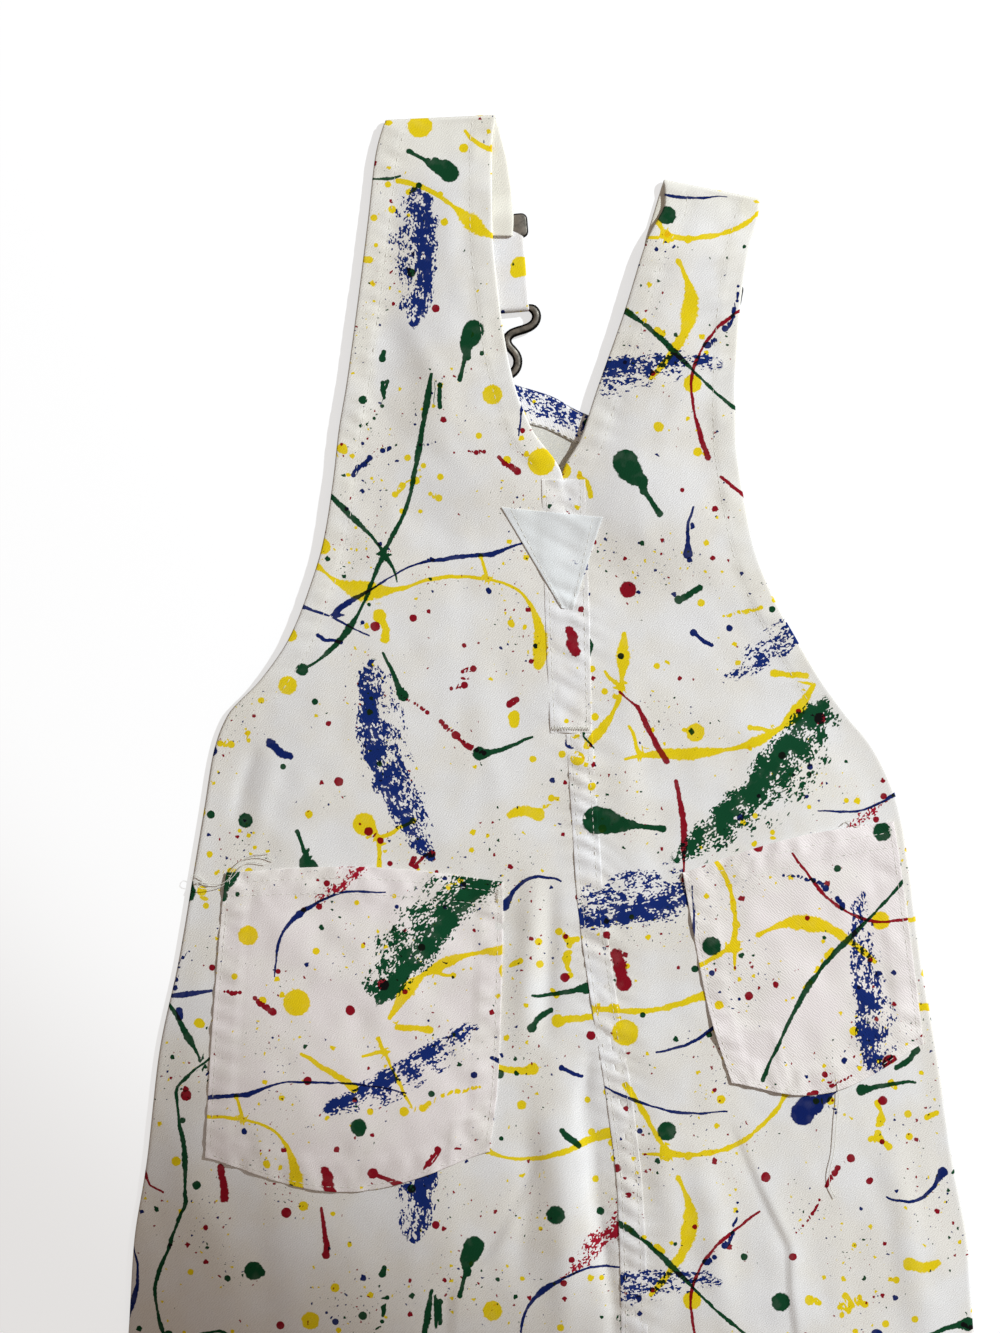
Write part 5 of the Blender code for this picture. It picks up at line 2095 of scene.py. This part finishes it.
@dataclass
class Bib:
    """The bib, lying wrong side up, and the facing along its top edge."""

    cut: Cut
    facing_cut: Cut
    pitch: float = 2.2
    columns: int = 92
    facing_pitch: float = 1.5
    facing_columns: int = 110
    facing_depth: float = 12.0
    waist_levels: tuple[float, ...] = (196.0, 175.0, 150.0)
    fold_step: float = 1.3
    rise: tuple[Pair, ...] = (
        (0, 0), (0.25, 4.2), (0.37, 4.1), (0.5, 1), (0.75, -1.2), (1, 0),
    )
    rise_fade: float = 50.0
    button_lift: float = 2.7
    button_full: float = 9.0
    button_reach: float = 32.0

    def ladder(self) -> list[Rung]:
        """The bib's rungs, the last ones from side fold to side fold.

        Returns:
            The rungs, from the top down.
        """
        lower = []
        for y in (*self.waist_levels, FORM.waist_y):
            left, right = FORM.outer_x(Side.LEFT, y), FORM.outer_x(Side.RIGHT, y)
            lower.append(Rung(float(left) + self.fold_step, y, float(right) - self.fold_step, y))
        return BIB + lower

    def plan(self, rungs: Array, share: Array) -> Array:
        """Points at shares across rungs, with the rise of the top edge fading out below it.

        Args:
            rungs: the rungs, one a row.
            share: the shares, from 0 to 1.

        Returns:
            One row of points for each rung.
        """
        start, end = rungs[:, None, :2], rungs[:, None, 2:]
        points = start + (end - start) * share[None, :, None]
        top = np.array(BIB[0])
        top_y = top[1] + (top[3] - top[1]) * share
        shares, rises = zip(*self.rise)
        fading = fade(top_y - points[..., 1], 0.0, self.rise_fade)
        points[..., 1] += fading * steady_curve(shares, rises, share)
        return points

    def height(self, x: Array, y: Array) -> Array:
        """Height of the middle of the bib's cloth, which lies over its two buttons.

        Args:
            x: the points' x.
            y: the points' y.

        Returns:
            The heights.
        """
        lift = np.zeros(np.shape(x))
        for at in BUTTONS.values():
            _, _, distance = path_distance(x, y, np.array([at, (at[0], at[1] - 1.0)]))
            lift = np.maximum(lift, fade(distance, self.button_full, self.button_reach - self.button_full))
        soft = 0.14 * soft_noise(71, x / 12.0, y / 9.0) + 0.2 * soft_noise(72, x / 26.0, y / 22.0)
        return GROUND + self.button_lift * lift + np.maximum(soft, 0.0)

    def build(self) -> None:
        """Adds the bib and its facing to the scene."""
        ladder = self.ladder()
        rows = resample(ladder, stations_of(ladder, self.pitch))
        plan = self.plan(rows, np.linspace(0.0, 1.0, self.columns))
        plan[0, :, 1] -= 0.4
        points = np.dstack([plan, self.height(plan[..., 0], plan[..., 1])])
        ClothSheet("bib_cloth", points, self.cut, turned_over=True).build(Slot.TWILL, "bib")
        down = graded(1.0, self.facing_pitch / self.facing_depth, (0.0, 0.02, 0.05, 0.1))
        plan = self.plan(resample(BIB, down), np.linspace(0.0, 1.0, self.facing_columns))
        arc = np.radians([-80.0, -45.0, -10.0, 25.0, 55.0])[:, None]
        turn = np.repeat(plan[:1], len(arc), axis=0)
        turn[..., 1] += PILE / 2 * np.cos(arc) - PILE / 2
        turn_height = self.height(turn[..., 0], turn[..., 1]) + PILE / 2 * (1.0 + np.sin(arc))
        puckers = 0.12 * soft_noise(73, plan[..., 0] / 4.0, plan[..., 1] / 10.0)
        top = self.height(plan[..., 0], plan[..., 1]) + PILE + puckers * smoothstep(down[:, None] * 5.0)
        top = top - rolled_edge((1.0 - down[:, None]) * self.facing_depth)
        plan[..., 1] -= PILE / 2 * (down[:, None] == 0.0)
        points = np.concatenate([np.dstack([turn, turn_height]), np.dstack([plan, top])])
        flat = points[..., :2].copy()
        flat[: len(arc), :, 1] += (0.6 * (math.pi / 2 - arc)) * PILE
        facing = ClothSheet("facing_cloth", points, self.facing_cut, flat)
        facing.build(Slot.TWILL, "bib_facing", held="folded", rests_on=("bib_cloth",))

    def facing_line(self, station: float) -> Array:
        """The top of the facing along a line at a station below its edge."""
        plan = self.plan(resample(BIB, np.array([station])), np.linspace(0.0, 1.0, 160))[0]
        return np.column_stack([plan, self.height(*plan.T) + PILE + CLOTH / 2 - 0.05])


@dataclass
class Front:
    """A front leg piece, flat on the ground under the back."""

    side: Side
    cut: Cut
    pitch: float = 3.4
    columns: int = 52
    fold_step: float = 1.3
    seam: tuple[Pair, ...] = ((130, 12), (40, 16), (-20, 23), (-72, 25.8))

    def build(self) -> None:
        """Adds the front to the scene."""
        upper = np.linspace(FORM.waist_y - 0.3, FORM.crotch_y, 40)
        level = np.append(upper, np.arange(FORM.crotch_y - self.pitch, FORM.hem_y + 1.0, -self.pitch))
        level = np.append(level, FORM.hem_y)
        inward = self.side.inward
        outer = FORM.outer_x(self.side, level) + inward * self.fold_step
        seam_y, seam_x = np.array(self.seam).T
        at_seam = np.interp(-level, -seam_y, seam_x) - inward * FORM.gap / 2
        share = FORM.inseam_share(level)
        on_leg = FORM.inner_x(self.side, level) - inward * self.fold_step * share
        inner = np.where(level >= FORM.crotch_y, at_seam, on_leg)
        across = np.linspace(0.0, 1.0, self.columns)
        x = outer[:, None] + (inner - outer)[:, None] * across
        y = np.broadcast_to(level[:, None], x.shape)
        soft = np.maximum(0.25 * soft_noise(81, x / 24.0, y / 30.0), 0.0)
        points = np.dstack([x, y, GROUND + soft * np.sin(np.pi * across)])
        name = self.side.value
        sheet = ClothSheet(f"front_cloth_{name}", points, self.cut, turned_over=self.side is Side.LEFT)
        sheet.build(Slot.TWILL, f"front_{name}")


@dataclass
class StrapLoop:
    """The end of a strap, taken round the slider's middle bar and the hook's bar and sewn."""

    side: Side
    cut: Cut
    width: float = 20.5
    top: float = 0.4
    end: float = -31.4
    top_radius: float = 1.35
    end_radius: float = 1.75
    top_height: float = 1.9
    end_height: float = 2.3
    edge_turn: float = 0.25
    pitch: float = 1.2

    def route(self) -> tuple[Array, Array, Array]:
        """The cloth's way round: places along the strap, heights, and outward angles.

        Returns:
            The three, with one entry for each row of the cloth.
        """
        low_top, low_end = self.top_height - self.top_radius, self.end_height - self.end_radius
        turn = np.radians(np.arange(-90.0, 91.0, 15.0))
        bend_y = self.end - self.end_radius * np.cos(turn)
        bend_z = self.end_height + self.end_radius * np.sin(turn)
        turn_y = self.top + self.top_radius * np.cos(turn[::-1])
        turn_z = self.top_height + self.top_radius * np.sin(turn[::-1])
        y = np.concatenate([[-9.0], bend_y, turn_y, self.top - np.array([3.0, 6.0, 12.0])])
        z = np.concatenate([[low_end + 0.1], bend_z, turn_z, low_top + np.array([0.0, 0.6, 0.85])])
        length = lengths_along(np.column_stack([y, z]))
        keys = np.concatenate([np.arange(0.0, length[-1], self.pitch), length])
        spots = np.unique(np.round(keys, 2))
        y, z = np.interp(spots, length, y), np.interp(spots, length, z)
        step_y, step_z = np.gradient(y, spots), np.gradient(z, spots)
        return np.stack([y, z], axis=1), spots, np.arctan2(-step_y, step_z) + math.pi

    def build(self) -> None:
        """Adds the loop to the scene."""
        route, spots, angle = self.route()
        rows = len(route)
        edge = TurnedEdge(np.full(rows, self.edge_turn), np.full(rows, 3.0))
        columns = Columns(under=3, arc=4, fine=5, middle=6, fine_reach=4.0)
        place, drop, length = columns.lay_out(np.full(rows, self.width), edge, edge)
        normal = np.stack([0.0 * angle, np.cos(angle), np.sin(angle)], axis=1)
        across = place - self.width / 2
        crown = 0.12 * np.sin(np.pi * np.clip(place / self.width, 0.0, 1.0))
        drawn = 0.06 * soft_noise(91, spots[:, None] / 5.0, place / 6.0)
        base = np.dstack([across, route[:, :1] + 0.0 * across, route[:, 1:] + 0.0 * across])
        points = base + (drop + crown + drawn)[..., None] * normal[:, None, :]
        matrix = np.array(FORM.strap_place(self.side))
        points = points @ matrix[:3, :3].T + matrix[:3, 3] / MM
        flat = np.dstack([length, spots[:, None] + 0.0 * length])
        name = self.side.value
        sheet = ClothSheet(f"strap_loop_cloth_{name}", points, self.cut, flat, turned_over=True)
        sheet.build(Slot.TWILL, f"strap_loop_{name}", held="folded")


def add_metal(name: str, mesh: Mesh, replaced: str) -> None:
    """Adds a piece of hardware to the scene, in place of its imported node.

    Args:
        name: its name.
        mesh: its shape.
        replaced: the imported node.
    """
    piece = add_piece(name, mesh, Slot.METAL, METAL)
    mesh.set_sharp_from_angle(angle=math.radians(50))
    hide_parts(replaced)


def curve_mesh(curve: bpy.types.Curve, place: Matrix) -> Mesh:
    """The mesh of a curve, put in its place, with its doubled points joined.

    Args:
        curve: the curve.
        place: where the mesh goes.

    Returns:
        The mesh.
    """
    guide = new_object("guide", curve)
    bpy.context.view_layer.update()
    mesh = bpy.data.meshes.new_from_object(guide.evaluated_get(bpy.context.evaluated_depsgraph_get()))
    bpy.data.objects.remove(guide)
    shape = bmesh.new()
    shape.from_mesh(mesh)
    bmesh.ops.remove_doubles(shape, verts=shape.verts, dist=ROUNDING)
    bmesh.ops.transform(shape, matrix=place, verts=shape.verts)
    bmesh.ops.recalc_face_normals(shape, faces=shape.faces)
    shape.to_mesh(mesh)
    shape.free()
    return mesh


@dataclass
class Slider:
    """The strap's adjuster: a flat plate with two slots, its edges rounded over."""

    side: Side
    size: Triple = (25.2, 9.4, 1.2)
    height: float = 1.9
    corner: float = 2.4
    bar: float = 1.5
    frame: Pair = (2.0, 1.7)
    slot_corner: float = 0.5
    edge: float = 0.34
    end_start: float = 5.9
    end_thickness: float = 1.9
    end_edge: float = 0.9
    end_lift: float = 0.85

    def ring(self, x: Pair, y: Pair, radius: float) -> list[Pair]:
        """A rectangle's outline with round corners.

        Args:
            x: its left and right edge.
            y: its lower and upper edge.
            radius: the radius of its corners.

        Returns:
            Its points.
        """
        points = []
        for k, (sx, sy) in enumerate(((1, 1), (0, 1), (0, 0), (1, 0))):
            centre_x = x[sx] + (radius if sx == 0 else -radius)
            centre_y = y[sy] + (radius if sy == 0 else -radius)
            for step in range(7):
                turn = math.radians(90 * k + 15 * step)
                points.append((centre_x + radius * math.cos(turn), centre_y + radius * math.sin(turn)))
        return points

    def outline(
        self, rings: Sequence[list[Pair]], thickness: float, edge: float, steps: int, lift: float
    ) -> bpy.types.Curve:
        """A flat shape with rounded edges, inside its first ring and outside the others.

        Args:
            rings: the outlines.
            thickness: how thick it is.
            edge: the radius of its edges.
            steps: how finely they are rounded.
            lift: the height of its middle.

        Returns:
            The shape as a filled curve.
        """
        made = bpy.data.curves.new("slider", "CURVE")
        made.dimensions, made.fill_mode = "2D", "BOTH"
        made.extrude = (thickness / 2 - edge) * MM
        made.bevel_depth, made.bevel_resolution = edge * MM, steps
        made.offset = -edge * MM
        for ring in rings:
            spline = made.splines.new("POLY")
            spline.points.add(len(ring) - 1)
            spline.use_cyclic_u = True
            for point, (x, y) in zip(spline.points, ring):
                point.co = (x * MM, y * MM, lift * MM, 1.0)
        return made

    def build(self) -> None:
        """Adds the slider to the scene."""
        right, top = self.size[0] / 2, self.size[1] / 2
        slot_end, low, high = right - self.frame[0], self.bar / 2, top - self.frame[1]
        rings = (
            self.ring((-right, right), (-top, top), self.corner),
            self.ring((-slot_end, slot_end), (low, high), self.slot_corner),
            self.ring((-slot_end, slot_end), (-high, -low), self.slot_corner),
        )
        end = self.ring((self.end_start, right + 0.1), (-top - 0.1, top + 0.1), self.corner)
        place = FORM.strap_place(self.side) @ Matrix.Translation((0.0, 0.0, self.height * MM))
        plate = bmesh.new()
        plate.from_mesh(curve_mesh(self.outline(rings, self.size[2], self.edge, 2, 0.0), place))
        for turn in (0.0, math.pi):
            raised = self.outline([end], self.end_thickness, self.end_edge, 3, self.end_lift)
            plate.from_mesh(curve_mesh(raised, place @ Matrix.Rotation(turn, 4, "Z")))
        name = f"slider_{self.side.value}"
        add_metal(f"{name}_plate", new_mesh(name, plate), name)


@dataclass
class Hook:
    """The bib hook: one loop of wire with a strap bar, a neck and a button eye."""

    side: Side
    wire: float = 1.8
    flatness: float = 0.58
    bar_share: float = 0.72
    lean: float = math.radians(-3.0)
    bar_place: float = -31.4
    bar_height: float = 2.3
    lying: float = 1.15
    half: tuple[Pair, ...] = (
        (0, 0), (5, 0), (10, 0), (12.2, -0.7), (13.4, -2.6), (13.2, -5),
        (11.6, -7), (8.8, -8.3), (5.6, -9.2), (3, -10.4), (1.8, -12.4), (2.2, -14.4),
        (4, -16.6), (5.5, -19), (5.7, -21.6), (4.7, -24.1), (2.6, -25.8), (0, -26.4),
    )

    def build(self) -> None:
        """Adds the hook to the scene."""
        route = list(self.half) + [(-x, y) for x, y in reversed(self.half[1:-1])]
        wire = bpy.data.curves.new("hook", "CURVE")
        wire.dimensions, wire.resolution_u = "3D", 3
        wire.bevel_depth, wire.bevel_resolution = self.wire * MM, 4
        spline = wire.splines.new("BEZIER")
        spline.bezier_points.add(len(route) - 1)
        spline.use_cyclic_u = True
        for point, (x, y) in zip(spline.bezier_points, route):
            point.co = (x * MM, y * MM, 0.0)
            point.radius = self.bar_share if y == 0.0 else 1.0
            point.handle_left_type = point.handle_right_type = "AUTO"
        mesh = curve_mesh(wire, Matrix.Diagonal((1.0, 1.0, self.flatness, 1.0)))
        deepest = self.half[-1][1] * MM
        for point in mesh.vertices:
            down = float(smoothstep(point.co.y / deepest))
            point.co.z += (self.bar_height + (self.lying - self.bar_height) * down) * MM
        bar = Matrix.Translation((0.0, self.bar_place * MM, 0.0)) @ Matrix.Rotation(self.lean, 4, "Z")
        mesh.transform(FORM.strap_place(self.side) @ bar)
        name = f"hook_{self.side.value}"
        add_metal(f"{name}_wire", mesh, name)


@dataclass
class BibButton:
    """A bib button: a dished head with a raised rim, and its neck."""

    side: Side
    profile: tuple[Pair, ...] = (
        (0, 2.4), (2.6, 2.4), (2.8, 2.2), (2.8, 1.6), (7, 1.6), (7.4, 1.3), (7.5, 0.8),
        (7.3, 0.3), (6.8, 0), (6.2, 0.1), (5.7, 0.45), (3.4, 0.5), (2.9, 0.25), (0, 0.15),
    )
    steps: int = 48

    def build(self) -> None:
        """Adds the button to the scene."""
        shape = bmesh.new()
        points = [shape.verts.new((r * MM, 0.0, z * MM)) for r, z in self.profile]
        edges = [shape.edges.new(pair) for pair in zip(points, points[1:])]
        bmesh.ops.spin(
            shape, geom=points + edges, axis=(0, 0, 1), cent=(0, 0, 0), angle=2 * math.pi,
            steps=self.steps, use_merge=True,
        )
        bmesh.ops.remove_doubles(shape, verts=shape.verts, dist=ROUNDING)
        bmesh.ops.recalc_face_normals(shape, faces=shape.faces)
        x, y = BUTTONS[self.side]
        bmesh.ops.translate(shape, verts=shape.verts, vec=(x * MM, y * MM, 0.0))
        name = f"bib_button_{self.side.value}"
        add_metal(f"{name}_cap", new_mesh(name, shape), name)


@dataclass
class Stitching:
    """Rows of lockstitch and bar tacks, joined in one piece of thread."""

    name: str
    finish: ThreadFinish
    pitch: float = 2.7
    length: float = 2.1
    thick: float = 0.15
    tack_pitch: float = 0.5
    tack_half_width: float = 0.9
    batch: int = 40
    stitches: list[tuple[Array, Array]] = field(default_factory=list)

    def add_line(self, points: Array) -> None:
        """Takes in a row of stitches along points.

        Args:
            points: the points.
        """
        spots = lengths_along(points)
        for start in np.arange(0.3, spots[-1] - self.pitch, self.pitch):
            a, b = np.column_stack([np.interp((start, start + self.length), spots, c) for c in points.T])
            self.stitches.append((a, b))

    def add_tack(self, start: Sequence[float], end: Sequence[float], rise: float) -> None:
        """Takes in a bar tack, a short, close zigzag.

        Args:
            start: where it starts.
            end: where it ends.
            rise: how far above the back's cloth it lies.
        """
        a, b = np.array(start), np.array(end)
        count = int(np.hypot(*(b - a)) / self.tack_pitch)
        side = np.array([a[1] - b[1], b[0] - a[0]]) / np.hypot(*(b - a)) * self.tack_half_width
        plan = np.array([a + (b - a) * k / count + side * (1 if k % 2 else -1) for k in range(count + 1)])
        height = FORM.surface(plan[:, 0], plan[:, 1]).max() + rise
        points = np.column_stack([plan, np.full(len(plan), height)])
        self.stitches += list(zip(points, points[1:]))

    def build(self) -> None:
        """Adds the thread to the scene."""
        whole, shape = bmesh.new(), bmesh.new()
        draw = np.random.default_rng(7)
        mesh = bpy.data.meshes.new(self.name)
        for number, (a, b) in enumerate(self.stitches, 1):
            turn = Vector(b - a).to_track_quat("X", "Z").to_matrix().to_4x4()
            sway = Matrix.Rotation(draw.normal(0.0, 0.05), 4, "Z")
            half = float(np.linalg.norm(b - a)) / 2
            size = Matrix.Diagonal((half * MM, self.thick * MM, self.thick * 0.75 * MM, 1.0))
            middle = Matrix.Translation(Vector((a + b) / 2) * MM)
            bmesh.ops.create_uvsphere(
                shape, u_segments=6, v_segments=4, radius=1.0, matrix=middle @ turn @ sway @ size
            )
            if number % self.batch == 0 or number == len(self.stitches):
                shape.to_mesh(mesh)
                whole.from_mesh(mesh)
                shape.clear()
        whole.to_mesh(mesh)
        whole.free()
        shape.free()
        add_piece(self.name, mesh, Slot.TWILL, self.finish)


@dataclass
class LooseThreads:
    """Thread ends that have worked out of the pocket corners and lie on the cloth."""

    name: str
    paths: Sequence[tuple[Pair, ...]]
    thick: float = 0.15
    lie: float = 0.42
    spring: float = 0.3

    def build(self) -> None:
        """Adds the threads to the scene."""
        thread = bpy.data.curves.new(self.name, "CURVE")
        thread.dimensions, thread.resolution_u = "3D", 5
        thread.bevel_depth, thread.bevel_resolution, thread.use_fill_caps = self.thick * MM, 1, True
        for path in self.paths:
            x, y = np.array(path).T
            lift = self.lie + self.spring * np.sin(np.linspace(0.0, math.pi, len(path)))
            spline = thread.splines.new("BEZIER")
            spline.bezier_points.add(len(path) - 1)
            places = np.column_stack([x, y, FORM.surface(x, y) + PILE + lift])
            for point, place in zip(spline.bezier_points, places):
                point.co = place * MM
                point.handle_left_type = point.handle_right_type = "AUTO"
        add_piece(self.name, curve_mesh(thread, Matrix.Identity(4)), Slot.TWILL, THREAD)


@dataclass
class Studio:
    """The camera, the soft light and the pale floor."""

    centre: Pair = (-21.06, 230.4)
    height: float = 1.1
    view_length: float = 520.0
    floor_size: float = 6.0
    floor_finish: FloorFinish = FloorFinish("Floor", (176, 176, 178), 0.66)
    lamp_place: Triple = (1.9, 1.4, 1.5)
    lamp_target: Triple = (1.972, 1.743, 0.0)
    lamp_cone: Pair = (2.4, 0.026)
    lamp_radius: float = 0.035
    lamp_power: float = 322.0
    lamp_colour: Triple = (0.93, 1.0, 1.03)
    sky_colour: Triple = (1.0, 0.83, 0.7)
    sky_strength: float = 0.25

    def add_camera(self) -> None:
        """A camera straight above the part of the garment that shows."""
        lens = bpy.data.cameras.new("camera")
        lens.lens = lens.sensor_width * self.height / (self.view_length * MM)
        lens.clip_end = 20.0
        camera = new_object("camera", lens)
        camera.location = (self.centre[0] * MM, self.centre[1] * MM, self.height)
        bpy.context.scene.camera = camera

    def add_floor(self) -> None:
        """A plain floor that stays pale to the camera and keeps the soft shadow."""
        shape = bmesh.new()
        bmesh.ops.create_grid(shape, x_segments=1, y_segments=1, size=self.floor_size / 2)
        bmesh.ops.translate(shape, verts=shape.verts, vec=(0.0, 0.0, -0.0001))
        floor = new_object("floor", new_mesh("floor", shape))
        floor.data.materials.append(self.floor_finish.build())

    def add_lamp(self) -> None:
        """A lamp up to the right, whose light fades out at the lower left."""
        lamp = bpy.data.lights.new("lamp", "SPOT")
        lamp.energy, lamp.color = self.lamp_power, self.lamp_colour
        lamp.spot_size, lamp.spot_blend = self.lamp_cone
        lamp.shadow_soft_size = self.lamp_radius
        light = new_object("lamp", lamp)
        turn = (Vector(self.lamp_target) - Vector(self.lamp_place)).to_track_quat("-Z", "Y")
        light.matrix_world = Matrix.Translation(self.lamp_place) @ turn.to_matrix().to_4x4()

    def add_world(self) -> None:
        """Even, faint light from all round."""
        world = bpy.data.worlds.new("World")
        world.use_nodes = True
        sky = world.node_tree.nodes["Background"]
        sky.inputs["Color"].default_value = (*self.sky_colour, 1.0)
        sky.inputs["Strength"].default_value = self.sky_strength
        bpy.context.scene.world = world

    def build(self) -> None:
        """Sets up the whole studio."""
        self.add_camera()
        self.add_floor()
        self.add_world()
        self.add_lamp()
        bpy.context.scene.view_settings.view_transform = "Standard"
        LOG.info("studio: camera %.2f m above the ground", self.height)


def sew(backs: dict[Side, BackHalf], bib: Bib, pockets: dict[Side, Pocket], strips: Sequence[Strip]) -> None:
    """Sews the hems, the pockets, the centre seam and the facing, and tacks the corners.

    Args:
        backs: the two back halves.
        bib: the bib.
        pockets: the pockets.
        strips: the strips down the centre.
    """
    hems = Stitching("hem_stitches", THREAD)
    for back in backs.values():
        hems.add_line(back.hem_line(armhole=True))
        hems.add_line(back.hem_line(armhole=False))
        hems.add_line(back.leg_hem_line())
    hems.build()
    seams = Stitching("seam_stitches", THREAD)
    for pocket in pockets.values():
        cloth = pocket.sheet()
        for edge in (Edge.LEFT, Edge.RIGHT, Edge.BOTTOM):
            seams.add_line(cloth.line(edge, STITCH_IN))
        for inside in (pocket.mouth_hem - 0.4, pocket.mouth_hem - 6.5):
            seams.add_line(cloth.line(Edge.TOP, inside))
        for edge in (Edge.LEFT, Edge.RIGHT):
            corner = cloth.line(edge, STITCH_IN, 4)
            seams.add_tack(corner[0][:2], corner[5][:2], 1.15)
    for strip in strips:
        cloth = strip.sheet()
        for edge in (Edge.LEFT, Edge.RIGHT):
            seams.add_line(cloth.line(edge, STITCH_IN, 1))
    seams.add_tack((-1.0, 206.4), (14.0, 206.4), 0.8)
    seams.build()
    # the olive stitches are also a dark line of painted shade along the facing's lower edge
    facing = Stitching("facing_stitches", OLIVE_THREAD, thick=0.18)
    facing.add_line(bib.facing_line(0.97))
    facing.build()


def main() -> None:
    """Builds the garment piece by piece, then the studio."""
    logging.basicConfig(level=logging.INFO, format="%(message)s")
    bib = Bib(Cut(40, 10), Cut(-40, -93, 294))
    bib.build()
    cuts = {Side.LEFT: Cut(0, 0), Side.RIGHT: Cut(132, 171, 180)}
    backs = {}
    for side in Side:
        Front(side, Cut(60, 20)).build()
        backs[side] = BackHalf(side, cuts[side])
        backs[side].build()
    pockets = {
        Side.LEFT: Pocket(Side.LEFT, Cut(95, 210), (16, 17)),
        Side.RIGHT: Pocket(Side.RIGHT, Cut(210, 60, 90), (24, 21), seed=57),
    }
    for pocket in pockets.values():
        pocket.build()
    strips = [
        Strip(
            "back_band", ((303, -5, 12), (250, -3.5, 13.6), (204.5, -1.5, 14.6)), Cut(0, 0),
            lift=lambda x, y: -0.22 * smoothstep((y - 270) / 25),
        ),
        Strip(
            "back_fell",
            (
                (204, 4.6, 14.8), (170, 6.9, 17), (139, 9, 19.2), (100, 14.3, 24.4), (63, 20.2, 30.2),
                (22, 24.8, 34.6), (-28, 26, 36.2), (-68, 21.6, 30.6),
            ),
            Cut(132, 171, 180),
        ),
        Strip(
            "neck_patch", ((292.2, -20.6, 18.7), (253, 3, 7.2)), Cut(0, 0), (PATCH_CLOTH, PATCH_CLOTH),
            Slot.PATCH, puckers=0.14, tilt=-0.1,
            lift=lambda x, y: 0.2 + 0.16 * fade(np.abs(x - 4), 8.6, 1.6),
        ),
    ]
    for strip in strips:
        strip.build()
    for side in Side:
        StrapLoop(side, Cut(149, 139) if side is Side.LEFT else Cut(178, 91)).build()
        Slider(side).build()
        Hook(side).build()
        BibButton(side).build()
    sew(backs, bib, pockets, strips)
    LooseThreads(
        "loose_threads_left",
        (
            ((-136, 147.4), (-141.2, 148.7), (-135.5, 146.2), (-128.3, 146.4), (-122, 154.5),
             (-113.9, 156.5), (-108.8, 155)),
            ((-134, 145.2), (-139, 145.9), (-131, 144.3), (-126, 147.6), (-119.4, 154),
             (-112, 153.6)),
            ((-127, 149), (-124.2, 152.8), (-118, 156.8), (-110.4, 158)),
        ),
    ).build()
    LooseThreads(
        "loose_threads_right",
        (
            ((111.5, 168.6), (114.6, 170.4), (117.2, 168), (119.3, 168.6)),
            ((107.6, 77), (110.4, 64.5), (109.6, 54), (108.8, 43), (106.9, 30), (109.2, 24)),
        ),
    ).build()
    Studio().build()


if __name__ == "__main__":
    main()
